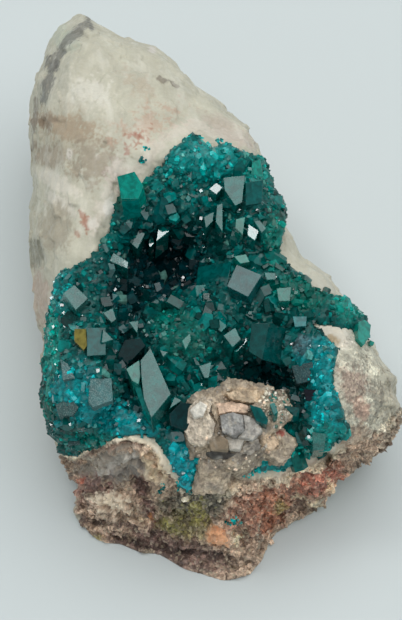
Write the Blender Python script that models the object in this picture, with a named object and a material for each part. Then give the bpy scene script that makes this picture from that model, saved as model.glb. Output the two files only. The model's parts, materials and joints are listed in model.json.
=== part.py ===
"""A hand specimen of dioptase on its calcite matrix, lying on its broken underside.

The rock is 81 mm long as it is seen from the front. Every place on it is given the way it shows
in that view, which looks down on the specimen at 60 degrees: how far across from the middle, how
far up, and how high above the table. Those sizes are in millimetres, and the model is in metres.
"""

import math
import random

import bmesh
import bpy
from mathutils import Matrix, Vector, noise
from mathutils.bvhtree import BVHTree

MM = 0.001

# The front view. The eye is far enough away to see all of the specimen.
VIEW_ELEVATION = math.radians(60)
VIEW_DISTANCE = 350 * MM
VIEW_TARGET = Vector((0, 0, 28)) * MM
TOWARDS_EYE = Vector((0, -math.cos(VIEW_ELEVATION), math.sin(VIEW_ELEVATION)))
UP_THE_VIEW = Vector((0, math.sin(VIEW_ELEVATION), math.cos(VIEW_ELEVATION)))
EYE = VIEW_TARGET + TOWARDS_EYE * VIEW_DISTANCE
# The middle of the specimen's plan, which becomes the origin.
PLAN_CENTRE = Vector((1.1, 10.3, 0)) * MM

# The rock's outer edge as it is seen: across, up, height above the table, and the share by
# which the hidden wall below that edge tucks in before it meets the table.
MIDDLE = Vector((0.4, 0.0))
ROCK_EDGE = [
    (-17.0, 42.8, 30, 0.12),
    (-15.2, 41.3, 30, 0.12),
    (-11.2, 39.4, 30, 0.12),
    (-6.8, 38.1, 30, 0.12),
    (-3.4, 35.4, 29, 0.12),
    (-0.5, 32.2, 29, 0.10),
    (3.9, 28.5, 29, 0.10),
    (6.8, 26.4, 29, 0.10),
    (8.3, 22.7, 28, 0.08),
    (9.5, 18.3, 27, 0.08),
    (11.4, 15.0, 26, 0.06),
    (12.4, 11.7, 25, 0.06),
    (14.7, 7.4, 25, 0.08),
    (18.4, 5.0, 24, 0.10),
    (20.4, 2.0, 23, 0.14),
    (22.2, -1.3, 22, 0.18),
    (25.2, -5.3, 20, 0.22),
    (27.0, -8.6, 19, 0.24),
    (28.6, -9.6, 18, 0.28),
    (27.6, -11.5, 17, 0.28),
    (29.3, -14.2, 15, 0.30),
    (27.6, -17.3, 13, 0.30),
    (24.9, -20.3, 11, 0.28),
    (19.8, -23.1, 9, 0.24),
    (18.9, -25.9, 5, 0.16),
    (13.9, -28.2, 3, 0.10),
    (10.6, -30.3, 2, 0.07),
    (9.0, -32.6, 1.5, 0.06),
    (8.4, -35.2, 1, 0.05),
    (6.2, -37.0, 0.8, 0.05),
    (3.9, -38.1, 0.7, 0.05),
    (-0.3, -37.5, 0.7, 0.05),
    (-5.0, -35.0, 0.9, 0.05),
    (-8.8, -33.7, 1, 0.05),
    (-10.9, -32.5, 1, 0.05),
    (-13.2, -32.4, 1, 0.05),
    (-15.4, -30.8, 1.5, 0.06),
    (-17.5, -27.9, 3, 0.08),
    (-16.8, -23.6, 6, 0.10),
    (-18.9, -20.4, 10, 0.14),
    (-22.3, -14.2, 15, 0.18),
    (-22.4, -9.3, 16, 0.18),
    (-21.7, -3.0, 16, 0.16),
    (-23.4, 0.7, 16, 0.16),
    (-23.5, 4.2, 16, 0.14),
    (-23.8, 8.0, 17, 0.14),
    (-24.5, 11.8, 18, 0.14),
    (-24.0, 16.3, 19, 0.13),
    (-23.9, 21.2, 21, 0.12),
    (-23.6, 25.0, 23, 0.12),
    (-23.8, 28.1, 24, 0.12),
    (-23.7, 32.6, 26, 0.12),
    (-21.7, 39.0, 28, 0.12),
    (-20.0, 41.2, 29, 0.12),
]

# Where the crystal face ends and the broken front wall begins: across, up and height.
# It meets the outer edge at its two ends.
WALL_BROW = [
    (-19.6, -18.4, 14),
    (-17.2, -19.4, 20),
    (-14.4, -19.9, 23),
    (-10.4, -18.5, 25),
    (-7.4, -19.2, 25),
    (-5.0, -22.6, 23),
    (-2.3, -25.3, 21),
    (4.1, -26.3, 19),
    (10.0, -24.9, 19),
    (14.1, -24.0, 19),
    (18.0, -22.8, 17),
    (20.4, -23.0, 13),
]

# The crystal face without its swells: a height in the middle, and a rise towards the far end.
FACE_HEIGHT = 29.5
FACE_RISE = 0.20
EDGE_ROUNDNESS = 9

# What stands above the face or sinks into it: across, up, rise, half width, half length, turn
# in degrees and steepness, which is 1 for a soft swell and more for one with steep sides.
SWELLS = {
    "calcite dome": (-12.5, 26.0, 4.5, 10.0, 12.0, 15, 1.2),
    "calcite shoulder": (-17.5, 10.0, 2.6, 5.0, 9.0, -20, 1.2),
    "calcite crest": (-17.5, 37.0, 2.5, 2.2, 6.0, -30, 1.0),
    "dioptase brow": (0.5, 22.5, 3.6, 6.5, 3.2, 0, 1.1),
    "right brow": (8.3, 14.0, 3.0, 3.0, 6.0, 15, 1.1),
    "vug": (-4.6, 5.6, -9.5, 5.4, 7.2, -40, 1.5),
    "vug tail": (-9.4, 9.8, -4.5, 3.8, 3.2, 0, 1.4),
    "druse hump": (-0.2, -2.2, 2.6, 3.6, 7.0, -52, 1.1),
    "druse saddle": (9.5, 2.0, 1.8, 4.2, 3.6, 0, 1.1),
    "left shelf": (-17.0, -8.5, 3.6, 4.6, 8.5, 0, 1.3),
    "gully": (-9.0, -8.5, -3.4, 2.8, 6.5, 24, 1.2),
    "lower pocket": (9.6, -10.6, -8.5, 5.6, 3.8, -20, 1.5),
    "right bank": (19.6, -9.5, 2.6, 3.6, 8.0, -6, 1.2),
    "calcite seat": (3.0, -19.5, -0.6, 5.5, 4.5, 0, 1.2),
    "arch": (-10.5, -21.6, 2.2, 5.2, 2.6, -4, 1.2),
    "arch groove": (-9.5, -25.4, -1.9, 6.0, 1.3, -8, 1.0),
    "left knob": (-13.8, -28.8, 3.0, 4.4, 3.6, 0, 1.2),
    "front valley": (-2.0, -29.6, -2.6, 2.6, 4.6, 22, 1.0),
    "orange pebble": (2.3, -32.4, 1.2, 1.1, 1.1, 0, 1.2),
    "right ledge": (15.0, -26.4, 1.6, 5.5, 1.5, 32, 1.1),
}

# The roughness of the broken stone: strength in mm, and size of the lumps in mm.
FACE_LUMPS = (0.35, 9.0)
WALL_LUMPS = (1.25, 6.5)
HIDDEN_LUMPS = (1.0, 10.0)
GRIT = (0.22, 2.2)
GRAIN_OF_STONE = Vector((3.1, 7.7, 1.3))

HIDDEN_WALL_SHARE = 0.45
HIDDEN_WALL_BELLY = 0.03
BELOW_TABLE = -3.0
ROCK_FACES = 3000

# The dioptase covers this part of the face: across and up.
CRUST_EDGE = [
    (-1.0, 25.2),
    (1.4, 23.4),
    (3.3, 24.0),
    (5.9, 22.8),
    (8.9, 21.8),
    (10.2, 17.0),
    (12.0, 15.8),
    (11.7, 12.2),
    (11.2, 7.6),
    (14.2, 5.3),
    (16.4, 3.0),
    (20.4, 1.8),
    (23.4, -1.0),
    (24.2, -4.4),
    (21.0, -2.8),
    (16.6, -2.2),
    (19.9, -5.6),
    (19.0, -10.0),
    (20.6, -14.6),
    (21.3, -17.6),
    (17.6, -20.2),
    (11.4, -22.9),
    (8.4, -23.2),
    (5.4, -21.6),
    (-2.2, -25.6),
    (-4.6, -22.4),
    (-6.6, -18.7),
    (-10.4, -18.2),
    (-14.4, -19.6),
    (-18.4, -21.0),
    (-21.4, -17.4),
    (-22.7, -12.6),
    (-22.2, -6.6),
    (-21.9, -0.6),
    (-20.6, 5.2),
    (-16.2, 7.6),
    (-13.4, 11.0),
    (-12.0, 16.4),
    (-11.8, 19.2),
    (-8.6, 18.2),
    (-6.0, 20.6),
    (-4.6, 23.0),
]
CRUST_GAP = 0.3
CRUST_SKIN = 1.8
CRUST_NEAR = 24.0
CRUST_FAR = -30.0

# Dioptase's habit: six prism sides under three slanting end faces, each over every other edge.
END_FACE_SLANT = math.radians(51)
UNEVEN_ENDS = 0.28
STRETCH_SLANT = math.radians(-30)

# The crystals that stand out: where the tip shows across and up, how far the tip stands off
# the rock towards the eye, the way the crystal points (right, up, out of the view), its radius,
# how much its end is drawn out, its length, and its turn about itself in degrees. At no turn one
# end face looks as squarely out of the view as it can.
BIG_CRYSTALS = {
    "long prism": (-7.2, -5.3, 6.0, (0.02, 0.86, 0.51), 4.0, 1.45, 12, -8),
    "prism behind it": (-9.0, -4.0, 3.0, (0.20, 0.50, 0.84), 2.4, 1.00, 8, 25),
    "dark block": (-1.4, -13.9, 3.4, (0.50, 0.30, 0.81), 2.2, 1.00, 7, 0),
    "corner of the dark block": (-3.9, -12.3, 3.4, (-0.30, 0.62, 0.72), 0.9, 1.00, 6, 0),
    "middle block": (8.6, 4.9, 3.6, (0.72, 0.22, 0.66), 2.9, 1.05, 9, 0),
    "chip behind it": (6.0, 7.9, 2.4, (0.30, 0.60, 0.74), 1.3, 1.00, 5, 0),
    "upper shield": (5.1, 19.2, 3.0, (0.05, 0.75, 0.66), 1.8, 1.45, 7, 0),
    "shield's neighbour": (7.9, 18.4, 2.2, (0.35, 0.55, 0.76), 2.0, 1.00, 6, 0),
    "upper point": (8.3, 21.6, 1.8, (0.10, 0.85, 0.50), 1.3, 1.00, 5, 20),
    "bright rhomb": (2.1, 18.2, 2.6, (0.00, 0.74, 0.67), 1.1, 1.00, 5, 0),
    "long splinter": (2.6, 10.6, 3.0, (-0.05, -0.90, 0.42), 1.4, 1.00, 8, 60),
    "right rhomb": (7.1, 12.3, 2.6, (-0.05, 0.74, 0.67), 1.0, 1.20, 5, 0),
    "right grey face": (9.1, 11.6, 2.2, (0.70, -0.10, 0.70), 1.1, 1.00, 5, 0),
    "right square": (11.6, 16.1, 1.6, (0.70, 0.40, 0.58), 1.9, 1.00, 7, 0),
    "right lower face": (11.0, 12.6, 1.6, (0.75, -0.10, 0.65), 1.5, 1.00, 6, 0),
    "green block": (-10.4, 19.7, 2.4, (-0.10, 0.74, 0.67), 2.4, 1.10, 7, 0),
    "face over the vug": (-9.1, 11.7, 2.5, (0.00, 0.74, 0.67), 1.7, 1.00, 6, 0),
    "bright spike": (-5.9, 12.4, 2.5, (0.10, 0.70, 0.70), 1.2, 1.20, 6, 15),
    "bright spike's twin": (-7.1, 11.0, 2.5, (-0.10, 0.70, 0.70), 0.8, 1.50, 5, 0),
    "bright bar": (-12.7, 7.7, 2.5, (-0.40, 0.60, 0.70), 1.5, 1.00, 6, 0),
    "teal face": (-3.9, 14.3, 2.0, (0.00, 0.74, 0.67), 0.9, 1.00, 5, 0),
    "striped face": (-18.1, 3.6, 3.0, (0.00, 0.75, 0.66), 2.2, 1.00, 7, 0),
    "left dull face": (-20.9, -0.1, 1.8, (-0.10, 0.70, 0.70), 1.6, 1.00, 6, 0),
    "left block": (-15.3, -6.0, 3.2, (0.00, -0.80, 0.60), 2.9, 1.00, 8, 60),
    "etched square": (-12.8, -9.6, 2.0, (0.53, 0.53, 0.66), 2.8, 1.00, 7, 0),
    "etched pentagon": (-18.4, -12.6, 1.6, (0.30, 0.60, 0.74), 1.7, 1.00, 6, 0),
    "small square": (-17.4, -17.3, 1.5, (0.50, 0.50, 0.70), 1.2, 1.00, 5, 0),
    "corner shard": (-21.4, -15.1, 1.2, (-0.40, 0.50, 0.76), 1.4, 1.00, 5, 0),
    "left rim column": (-21.7, -9.0, 1.4, (-0.10, 0.90, 0.42), 1.6, 1.00, 8, 0),
    "left rim crystal": (-21.3, -4.0, 1.2, (-0.20, 0.60, 0.77), 1.2, 1.00, 5, 0),
    "gully wedge": (-9.0, -3.9, 3.0, (0.10, -0.80, 0.60), 1.1, 1.00, 6, 60),
    "gully face": (-12.7, 0.6, 2.0, (0.10, 0.70, 0.70), 1.0, 1.00, 5, 0),
    "hump face": (-1.7, -3.3, 2.2, (0.15, 0.70, 0.70), 1.2, 1.00, 5, 0),
    "hump chip": (-5.9, -5.6, 1.8, (-0.30, 0.50, 0.81), 0.8, 1.00, 4, 0),
    "square face": (4.7, -2.5, 2.8, (0.00, 0.74, 0.67), 1.5, 1.00, 6, 0),
    "bright edge": (6.4, -3.7, 2.6, (0.60, 0.30, 0.74), 1.5, 1.00, 6, 0),
    "small square face": (4.0, 1.4, 1.8, (0.10, 0.70, 0.70), 0.8, 1.00, 4, 0),
    "upright prism": (9.0, -9.9, 8.0, (0.00, -0.90, 0.43), 3.3, 1.00, 14, 60),
    "saddle block": (12.7, 3.1, 2.0, (0.30, 0.60, 0.74), 1.8, 1.00, 5, 0),
    "saddle chip": (9.9, 6.0, 2.4, (0.20, 0.70, 0.70), 1.0, 1.00, 5, 0),
    "right bank face": (14.9, -7.3, 2.6, (0.10, 0.74, 0.66), 2.8, 1.10, 7, 0),
    "lower dark face": (14.1, -17.4, 2.0, (-0.30, 0.60, 0.74), 1.6, 1.00, 5, 0),
    "lower pale face": (17.0, -17.3, 1.8, (0.20, 0.70, 0.70), 1.3, 1.00, 5, 0),
    "rim prism": (20.3, 2.4, 1.6, (-0.30, 0.85, 0.43), 1.6, 1.00, 8, 60),
    "rim crystal": (24.0, -2.4, 1.5, (0.75, 0.20, 0.63), 1.3, 1.00, 6, 0),
    "rim chip": (23.9, -4.6, 1.0, (0.75, -0.20, 0.63), 0.9, 1.00, 5, 0),
    "rim neighbour": (17.3, 2.0, 1.6, (0.10, 0.70, 0.70), 1.2, 1.00, 5, 0),
    "vug floor": (-2.1, 5.4, 2.4, (-0.20, 0.25, 0.94), 1.9, 1.00, 7, 10),
    "vug floor left": (-7.3, 5.4, 2.4, (0.20, 0.15, 0.96), 1.8, 1.00, 7, 40),
    "vug floor low": (-5.1, 1.7, 2.2, (0.10, 0.55, 0.83), 1.7, 1.00, 6, 0),
    "vug wall right": (1.6, 9.3, 2.2, (-0.50, -0.10, 0.86), 1.8, 1.00, 6, 25),
    "vug wall top": (-2.3, 12.6, 2.4, (0.10, -0.40, 0.91), 1.8, 1.00, 6, 0),
    "vug lip": (-9.9, 3.7, 2.2, (0.35, 0.35, 0.87), 1.7, 1.00, 6, 0),
    "pocket floor": (8.7, -11.7, 2.4, (0.10, 0.30, 0.95), 1.9, 1.00, 6, 0),
    "pocket wall": (12.7, -13.6, 2.0, (-0.35, 0.30, 0.88), 1.6, 1.00, 6, 22),
    "pocket edge": (3.9, -8.9, 2.0, (0.15, 0.60, 0.79), 1.3, 1.00, 5, 0),
    "gully floor": (-11.6, -16.4, 1.6, (0.20, 0.50, 0.84), 1.5, 1.00, 5, 30),
    "brow crystal": (-0.1, 22.9, 1.6, (0.05, 0.60, 0.80), 1.5, 1.00, 5, 20),
    "brow crystal right": (3.9, 22.0, 1.6, (0.20, 0.70, 0.68), 1.3, 1.00, 5, 0),
    "right wall crystal": (9.3, 9.0, 1.8, (0.60, 0.40, 0.70), 1.6, 1.00, 5, 0),
}

# The smaller crystals that fill the crust between them.
SMALL_CRYSTALS = 60
SMALL_RADIUS = (1.0, 1.6)
SMALL_STAND = (0.7, 1.5)
SMALL_LENGTH = 4.6
SMALL_SPACING = 2.9
SMALL_LEAN = 0.55
CRYSTAL_SEED = 11

# The grey calcite crystals that sit in front of the pocket: across, up, height of the middle
# above the rock, three widths and three turns in degrees.
CALCITE_BLOCKS = {
    "left block": (1.2, -16.0, 1.8, (6.0, 7.0, 6.5), (20, 14, 24)),
    "middle block": (4.9, -16.4, 2.4, (6.0, 6.0, 6.0), (-12, 28, 8)),
    "right block": (8.6, -15.8, 1.6, (6.0, 5.0, 5.5), (32, -10, 40)),
    "back ledge": (5.6, -12.9, 1.4, (7.5, 3.4, 5.0), (8, 6, -10)),
    "right ledge": (11.8, -14.8, 1.2, (5.6, 4.0, 5.0), (-14, 18, 14)),
    "tan face": (2.6, -19.6, 1.6, (5.4, 4.6, 5.0), (38, 8, -18)),
    "front step": (6.0, -20.0, 1.2, (6.0, 4.6, 5.0), (14, -22, 30)),
    "front foot": (1.4, -22.8, 0.6, (4.6, 4.4, 4.6), (-24, 12, 10)),
    "right foot": (9.8, -19.2, 0.8, (4.6, 4.2, 4.6), (16, 30, -26)),
    "back point": (9.4, -12.9, 1.2, (3.6, 4.0, 5.0), (24, -16, 52)),
}
BLOCK_SKEW = 0.24
# A block's corner moves this much further than its faces when the block is swollen.
CORNER_REACH = math.sqrt(3)

# Colours as red, green and blue, and how rough each surface is.
MATRIX_COLOUR = ((0.52, 0.47, 0.38), 0.75)
DIOPTASE_COLOUR = ((0.0, 0.20, 0.17), 0.12)
CALCITE_COLOUR = ((0.42, 0.38, 0.32), 0.45)


def seen_at(across, up, height):
    """The point that shows across and up in the view, in mm, at a height above the table."""
    through = VIEW_TARGET + (Vector((across, 0, 0)) + UP_THE_VIEW * up) * MM
    share = (height * MM - EYE.z) / (through.z - EYE.z)
    return EYE + (through - EYE) * share - PLAN_CENTRE


def place_in_view(point):
    """How far across and up a point shows in the view, in mm."""
    ray = point + PLAN_CENTRE - EYE
    through = EYE + ray * (VIEW_DISTANCE / ray.dot(-TOWARDS_EYE)) - VIEW_TARGET
    return Vector((through.x, through.dot(UP_THE_VIEW))) / MM


class Loop:
    """A ring of places round the middle of the view, read by the angle they lie at."""

    def __init__(self, places):
        self.rows = sorted(
            (math.atan2(y - MIDDLE.y, x - MIDDLE.x), math.hypot(x - MIDDLE.x, y - MIDDLE.y), *more)
            for x, y, *more in places
        )

    def reaches(self, angle):
        return self.rows[0][0] <= angle <= self.rows[-1][0]

    def at(self, angle):
        """The distance from the middle at an angle, then the ring's other values there."""
        first, last = self.rows[-1], self.rows[0]
        for row in self.rows:
            if row[0] >= angle:
                last = row
                break
            first = row
        span = (last[0] - first[0]) % math.tau
        share = ((angle - first[0]) % math.tau) / span if span else 0
        return [a + (b - a) * share for a, b in zip(first[1:], last[1:])]


EDGE = Loop(ROCK_EDGE)
BROW = Loop(WALL_BROW)


def swell_at(across, up, values):
    x, y, rise, half_width, half_length, turn, steepness = values
    offset = Matrix.Rotation(-math.radians(turn), 2) @ Vector((across - x, up - y))
    spread = (offset.x / half_width) ** 2 + (offset.y / half_length) ** 2
    return rise * math.exp(-(spread**steepness))


def swells_at(across, up):
    return sum(swell_at(across, up, values) for values in SWELLS.values())


def wall_share(angle, share):
    """0 on the crystal face, growing to 1 at the foot of the broken front wall."""
    if not BROW.reaches(angle):
        return 0
    brow = min(BROW.at(angle)[0] / EDGE.at(angle)[0], 0.99)
    return max(0, (share - brow) / (1 - brow))


def front_point(angle, share):
    """A point of the rock that the view shows. The share is 0 in the middle and 1 at the edge."""
    reach, edge_height, _ = EDGE.at(angle)
    across = MIDDLE.x + reach * share * math.cos(angle)
    up = MIDDLE.y + reach * share * math.sin(angle)
    face = FACE_HEIGHT + FACE_RISE * up
    if BROW.reaches(angle):
        brow_reach, brow_height = BROW.at(angle)
        brow = min(brow_reach / reach, 0.99)
        near_brow = min(share / brow, 1) ** 4
        face += (brow_height - face) * near_brow
        face += (edge_height - face) * wall_share(angle, share)
    face += swells_at(across, up)
    rounding = math.sqrt(1 - share**EDGE_ROUNDNESS)
    return seen_at(across, up, edge_height + (face - edge_height) * rounding)


def hidden_point(angle, share):
    """A point of the far side or the underside. The share is 1 at the edge and 0 underneath."""
    reach, edge_height, tuck = EDGE.at(angle)
    edge = seen_at(
        MIDDLE.x + reach * math.cos(angle), MIDDLE.y + reach * math.sin(angle), edge_height
    )
    down = min((1 - share) / HIDDEN_WALL_SHARE, 1)
    width = 1 + HIDDEN_WALL_BELLY * math.sin(math.pi * down) - tuck * down**1.5
    if share < 1 - HIDDEN_WALL_SHARE:
        width = (1 - tuck) * share / (1 - HIDDEN_WALL_SHARE)
    height = edge.z + (BELOW_TABLE * MM - edge.z) * down
    return Vector((edge.x * width, edge.y * width, height))


def rock_point(direction):
    angle = math.atan2(direction.y, direction.x)
    share = math.sqrt(max(0, 1 - abs(direction.z)))
    if direction.z >= 0:
        return front_point(angle, min(share, 1))
    return hidden_point(angle, share)


def lumps(point, strength, size):
    return strength * MM * noise.fractal((point / (size * MM)) + GRAIN_OF_STONE, 0.9, 2.1, 4)


def roughness_at(point, direction):
    """How far the broken surface stands out of its smooth form."""
    angle = math.atan2(direction.y, direction.x)
    share = math.sqrt(max(0, 1 - abs(direction.z)))
    grit = lumps(point, *GRIT)
    if direction.z < 0:
        return lumps(point, *HIDDEN_LUMPS) + grit
    wall = min(wall_share(angle, share) * 4, 1)
    return lumps(point, *FACE_LUMPS) * (1 - wall) + (lumps(point, *WALL_LUMPS) + grit) * wall


def evaluated_copy(thing, name):
    """A new object with the mesh that the modifiers of another make."""
    graph = bpy.context.evaluated_depsgraph_get()
    mesh = bpy.data.meshes.new_from_object(thing.evaluated_get(graph))
    mesh.name = name
    copy = bpy.data.objects.new(name, mesh)
    copy.matrix_world = thing.matrix_world
    return copy


def remove(thing):
    bpy.data.objects.remove(thing)


def add_boolean(thing, operation, other, crossing=False):
    modifier = thing.modifiers.new(operation.lower(), "BOOLEAN")
    modifier.operation = operation
    modifier.object = other
    modifier.solver = "EXACT"
    modifier.use_self = crossing


def make_rock():
    """The whole stone: a fine sphere drawn out to its form, thinned, and cut flat underneath."""
    bpy.ops.mesh.primitive_ico_sphere_add(subdivisions=6, radius=1)
    blank = bpy.context.object
    directions = [vertex.co.normalized() for vertex in blank.data.vertices]
    for vertex, direction in zip(blank.data.vertices, directions):
        vertex.co = rock_point(direction)
    blank.data.update()
    normals = [vertex.normal.copy() for vertex in blank.data.vertices]
    for vertex, normal, direction in zip(blank.data.vertices, normals, directions):
        vertex.co += normal * roughness_at(vertex.co, direction)
    thinning = blank.modifiers.new("thinning", "DECIMATE")
    thinning.ratio = ROCK_FACES / len(blank.data.polygons)
    rock = evaluated_copy(blank, "matrix")
    remove(blank)
    cut_flat(rock.data)
    return rock


def cut_flat(mesh):
    """Cuts away what is below the table and closes the cut with one flat face."""
    shape = bmesh.new()
    shape.from_mesh(mesh)
    cut = bmesh.ops.bisect_plane(
        shape,
        geom=shape.verts[:] + shape.edges[:] + shape.faces[:],
        plane_co=(0, 0, 0),
        plane_no=(0, 0, 1),
        clear_inner=True,
    )
    rim = [item for item in cut["geom_cut"] if isinstance(item, bmesh.types.BMEdge)]
    bmesh.ops.contextual_create(shape, geom=rim)
    bmesh.ops.recalc_face_normals(shape, faces=shape.faces[:])
    shape.to_mesh(mesh)
    shape.free()


def swell(mesh, by):
    """Moves a mesh outwards by so many millimetres all over."""
    mesh.update()
    normals = [vertex.normal.copy() for vertex in mesh.vertices]
    for vertex, normal in zip(mesh.vertices, normals):
        vertex.co += normal * by * MM


def swollen(rock, name, by):
    """A copy of the rock that stands out by so many millimetres."""
    copy = bpy.data.objects.new(name, rock.data.copy())
    swell(copy.data, by)
    return copy


def crust_window():
    """A block with the crust's edge, which narrows towards the eye as sight lines do."""
    shape = bmesh.new()
    far = [along_sight(x, y, CRUST_FAR) for x, y in CRUST_EDGE]
    near = [along_sight(x, y, CRUST_NEAR) for x, y in CRUST_EDGE]
    far_ring = [shape.verts.new(point) for point in far]
    face = shape.faces.new(far_ring)
    grown = bmesh.ops.extrude_face_region(shape, geom=[face])
    moved = [item for item in grown["geom"] if isinstance(item, bmesh.types.BMVert)]
    for vertex in moved:
        index = min(range(len(far)), key=lambda i: (far[i] - vertex.co).length)
        vertex.co = near[index]
    bmesh.ops.recalc_face_normals(shape, faces=shape.faces[:])
    mesh = bpy.data.meshes.new("crust_window")
    shape.to_mesh(mesh)
    shape.free()
    return bpy.data.objects.new("crust_window", mesh)


def along_sight(across, up, out):
    """The point on a sight line that is so far out of the view's middle plane, in mm."""
    through = VIEW_TARGET + (Vector((across, 0, 0)) + UP_THE_VIEW * up) * MM
    return through + (EYE - through) * (out * MM / VIEW_DISTANCE) - PLAN_CENTRE


def seat_on(tree, across, up):
    """Where a sight line meets the rock, or passes its edge, and which way the rock faces."""
    start = EYE - PLAN_CENTRE
    point, normal, _, _ = tree.ray_cast(start, along_sight(across, up, 0) - start)
    if point is None:
        edge_height = EDGE.at(math.atan2(up - MIDDLE.y, across - MIDDLE.x))[1]
        return seen_at(across, up, edge_height), TOWARDS_EYE
    return point, normal


def crystal_shape(radius, stretch, length, unevenness):
    """One crystal with its tip at the origin: a prism under three end faces that slant away."""
    shape = bmesh.new()
    bmesh.ops.create_cone(
        shape,
        cap_ends=True,
        segments=6,
        radius1=radius,
        radius2=radius,
        depth=length,
        matrix=Matrix.Translation((0, 0, -length / 2)) @ Matrix.Rotation(math.radians(30), 4, "Z"),
    )
    for side, uneven in enumerate(unevenness):
        azimuth = math.radians(120 * side)
        normal = Vector((math.cos(azimuth), math.sin(azimuth), 0)) * math.sin(END_FACE_SLANT)
        normal.z = math.cos(END_FACE_SLANT)
        cut = bmesh.ops.bisect_plane(
            shape,
            geom=shape.verts[:] + shape.edges[:] + shape.faces[:],
            plane_co=(0, 0, -uneven * radius),
            plane_no=normal,
            clear_outer=True,
        )
        rim = [item for item in cut["geom_cut"] if isinstance(item, bmesh.types.BMEdge)]
        bmesh.ops.contextual_create(shape, geom=rim)
    bmesh.ops.recalc_face_normals(shape, faces=shape.faces[:])
    slant = Matrix.Rotation(STRETCH_SLANT, 4, "Z")
    shape.transform(slant @ Matrix.Diagonal((stretch, 1, 1, 1)) @ slant.inverted())
    return shape


def stand_crystal(shape, tip, axis, turn):
    """Sets a crystal with its tip at a place. At no turn one end face looks out of the view."""
    side = (TOWARDS_EYE - axis * TOWARDS_EYE.dot(axis)).normalized()
    frame = Matrix((side, axis.cross(side), axis)).transposed().to_4x4()
    shape.transform(Matrix.Translation(tip) @ frame @ Matrix.Rotation(math.radians(turn), 4, "Z"))


def add_to(mesh_builder, shape):
    mesh = bpy.data.meshes.new("one_crystal")
    shape.to_mesh(mesh)
    shape.free()
    mesh_builder.from_mesh(mesh)
    bpy.data.meshes.remove(mesh)


def inside_crust(across, up):
    """Whether a place in the view is inside the crust's edge."""
    inside = False
    for (x1, y1), (x2, y2) in zip(CRUST_EDGE, CRUST_EDGE[1:] + CRUST_EDGE[:1]):
        if (y1 > up) != (y2 > up) and across < x1 + (up - y1) / (y2 - y1) * (x2 - x1):
            inside = not inside
    return inside


def small_seats(draw):
    """Places for the small crystals, inside the crust and clear of each other."""
    left, right = min(x for x, _ in CRUST_EDGE), max(x for x, _ in CRUST_EDGE)
    low, high = min(y for _, y in CRUST_EDGE), max(y for _, y in CRUST_EDGE)
    taken = [Vector(values[:2]) for values in BIG_CRYSTALS.values()]
    seats = []
    while len(seats) < SMALL_CRYSTALS:
        place = Vector((draw.uniform(left, right), draw.uniform(low, high)))
        clear = all((place - other).length > SMALL_SPACING for other in taken)
        if clear and inside_crust(*place):
            seats.append(place)
            taken.append(place)
    return seats


def make_crystals(tree):
    """All the dioptase crystals in one mesh, still crossing each other and the rock."""
    draw = random.Random(CRYSTAL_SEED)
    builder = bmesh.new()
    for across, up, stand, lean, radius, stretch, length, turn in BIG_CRYSTALS.values():
        seat, _ = seat_on(tree, across, up)
        right, rise, out = lean
        axis = (Vector((right, 0, 0)) + UP_THE_VIEW * rise + TOWARDS_EYE * out).normalized()
        uneven = [0, draw.uniform(0, UNEVEN_ENDS), draw.uniform(0, UNEVEN_ENDS)]
        shape = crystal_shape(radius * MM, stretch, length * MM, uneven)
        stand_crystal(shape, seat + TOWARDS_EYE * (CRUST_SKIN + stand) * MM, axis, turn)
        add_to(builder, shape)
    for place in small_seats(draw):
        seat, normal = seat_on(tree, *place)
        stray = Vector([draw.uniform(-SMALL_LEAN, SMALL_LEAN) for _ in range(3)])
        axis = (normal + stray).normalized()
        uneven = [draw.uniform(0, UNEVEN_ENDS) for _ in range(3)]
        shape = crystal_shape(draw.uniform(*SMALL_RADIUS) * MM, 1, SMALL_LENGTH * MM, uneven)
        tip = seat + (TOWARDS_EYE * CRUST_SKIN + axis * draw.uniform(*SMALL_STAND)) * MM
        stand_crystal(shape, tip, axis, draw.uniform(0, 120))
        add_to(builder, shape)
    mesh = bpy.data.meshes.new("crystal_growth")
    builder.to_mesh(mesh)
    builder.free()
    return bpy.data.objects.new("crystal_growth", mesh)


def make_calcite(tree):
    """The cluster of grey calcite crystals, as skewed blocks that still cross each other."""
    builder = bmesh.new()
    for across, up, rise, widths, turns in CALCITE_BLOCKS.values():
        seat, _ = seat_on(tree, across, up)
        shape = bmesh.new()
        bmesh.ops.create_cube(shape, size=1)
        skew = Matrix.Shear("XY", 4, (BLOCK_SKEW, BLOCK_SKEW))
        scale = Matrix.Diagonal((*(width * MM for width in widths), 1))
        turned = Matrix.Identity(4)
        for axis, turn in zip("XYZ", turns):
            turned = Matrix.Rotation(math.radians(turn), 4, axis) @ turned
        middle = Matrix.Translation(seat + TOWARDS_EYE * rise * MM)
        shape.transform(middle @ turned @ skew @ scale)
        add_to(builder, shape)
    mesh = bpy.data.meshes.new("calcite_blocks")
    builder.to_mesh(mesh)
    builder.free()
    return bpy.data.objects.new("calcite_blocks", mesh)


def make_material(name, colour, roughness):
    material = bpy.data.materials.new(name)
    material.use_nodes = True
    surface = material.node_tree.nodes["Principled BSDF"]
    surface.inputs["Base Color"].default_value = (*colour, 1)
    surface.inputs["Roughness"].default_value = roughness
    surface.inputs["Metallic"].default_value = 0
    return material


def largest_piece(mesh):
    """Deletes all but the largest connected piece of a mesh, as a splinter a cut leaves."""
    shape = bmesh.new()
    shape.from_mesh(mesh)
    unseen, pieces = set(shape.verts), []
    while unseen:
        piece, edge_of_piece = set(), [unseen.pop()]
        while edge_of_piece:
            vertex = edge_of_piece.pop()
            piece.add(vertex)
            near = {edge.other_vert(vertex) for edge in vertex.link_edges} & unseen
            unseen -= near
            edge_of_piece.extend(near)
        pieces.append(piece)
    pieces.sort(key=len)
    for piece in pieces[:-1]:
        bmesh.ops.delete(shape, geom=list(piece), context="VERTS")
    shape.to_mesh(mesh)
    shape.free()


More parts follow.
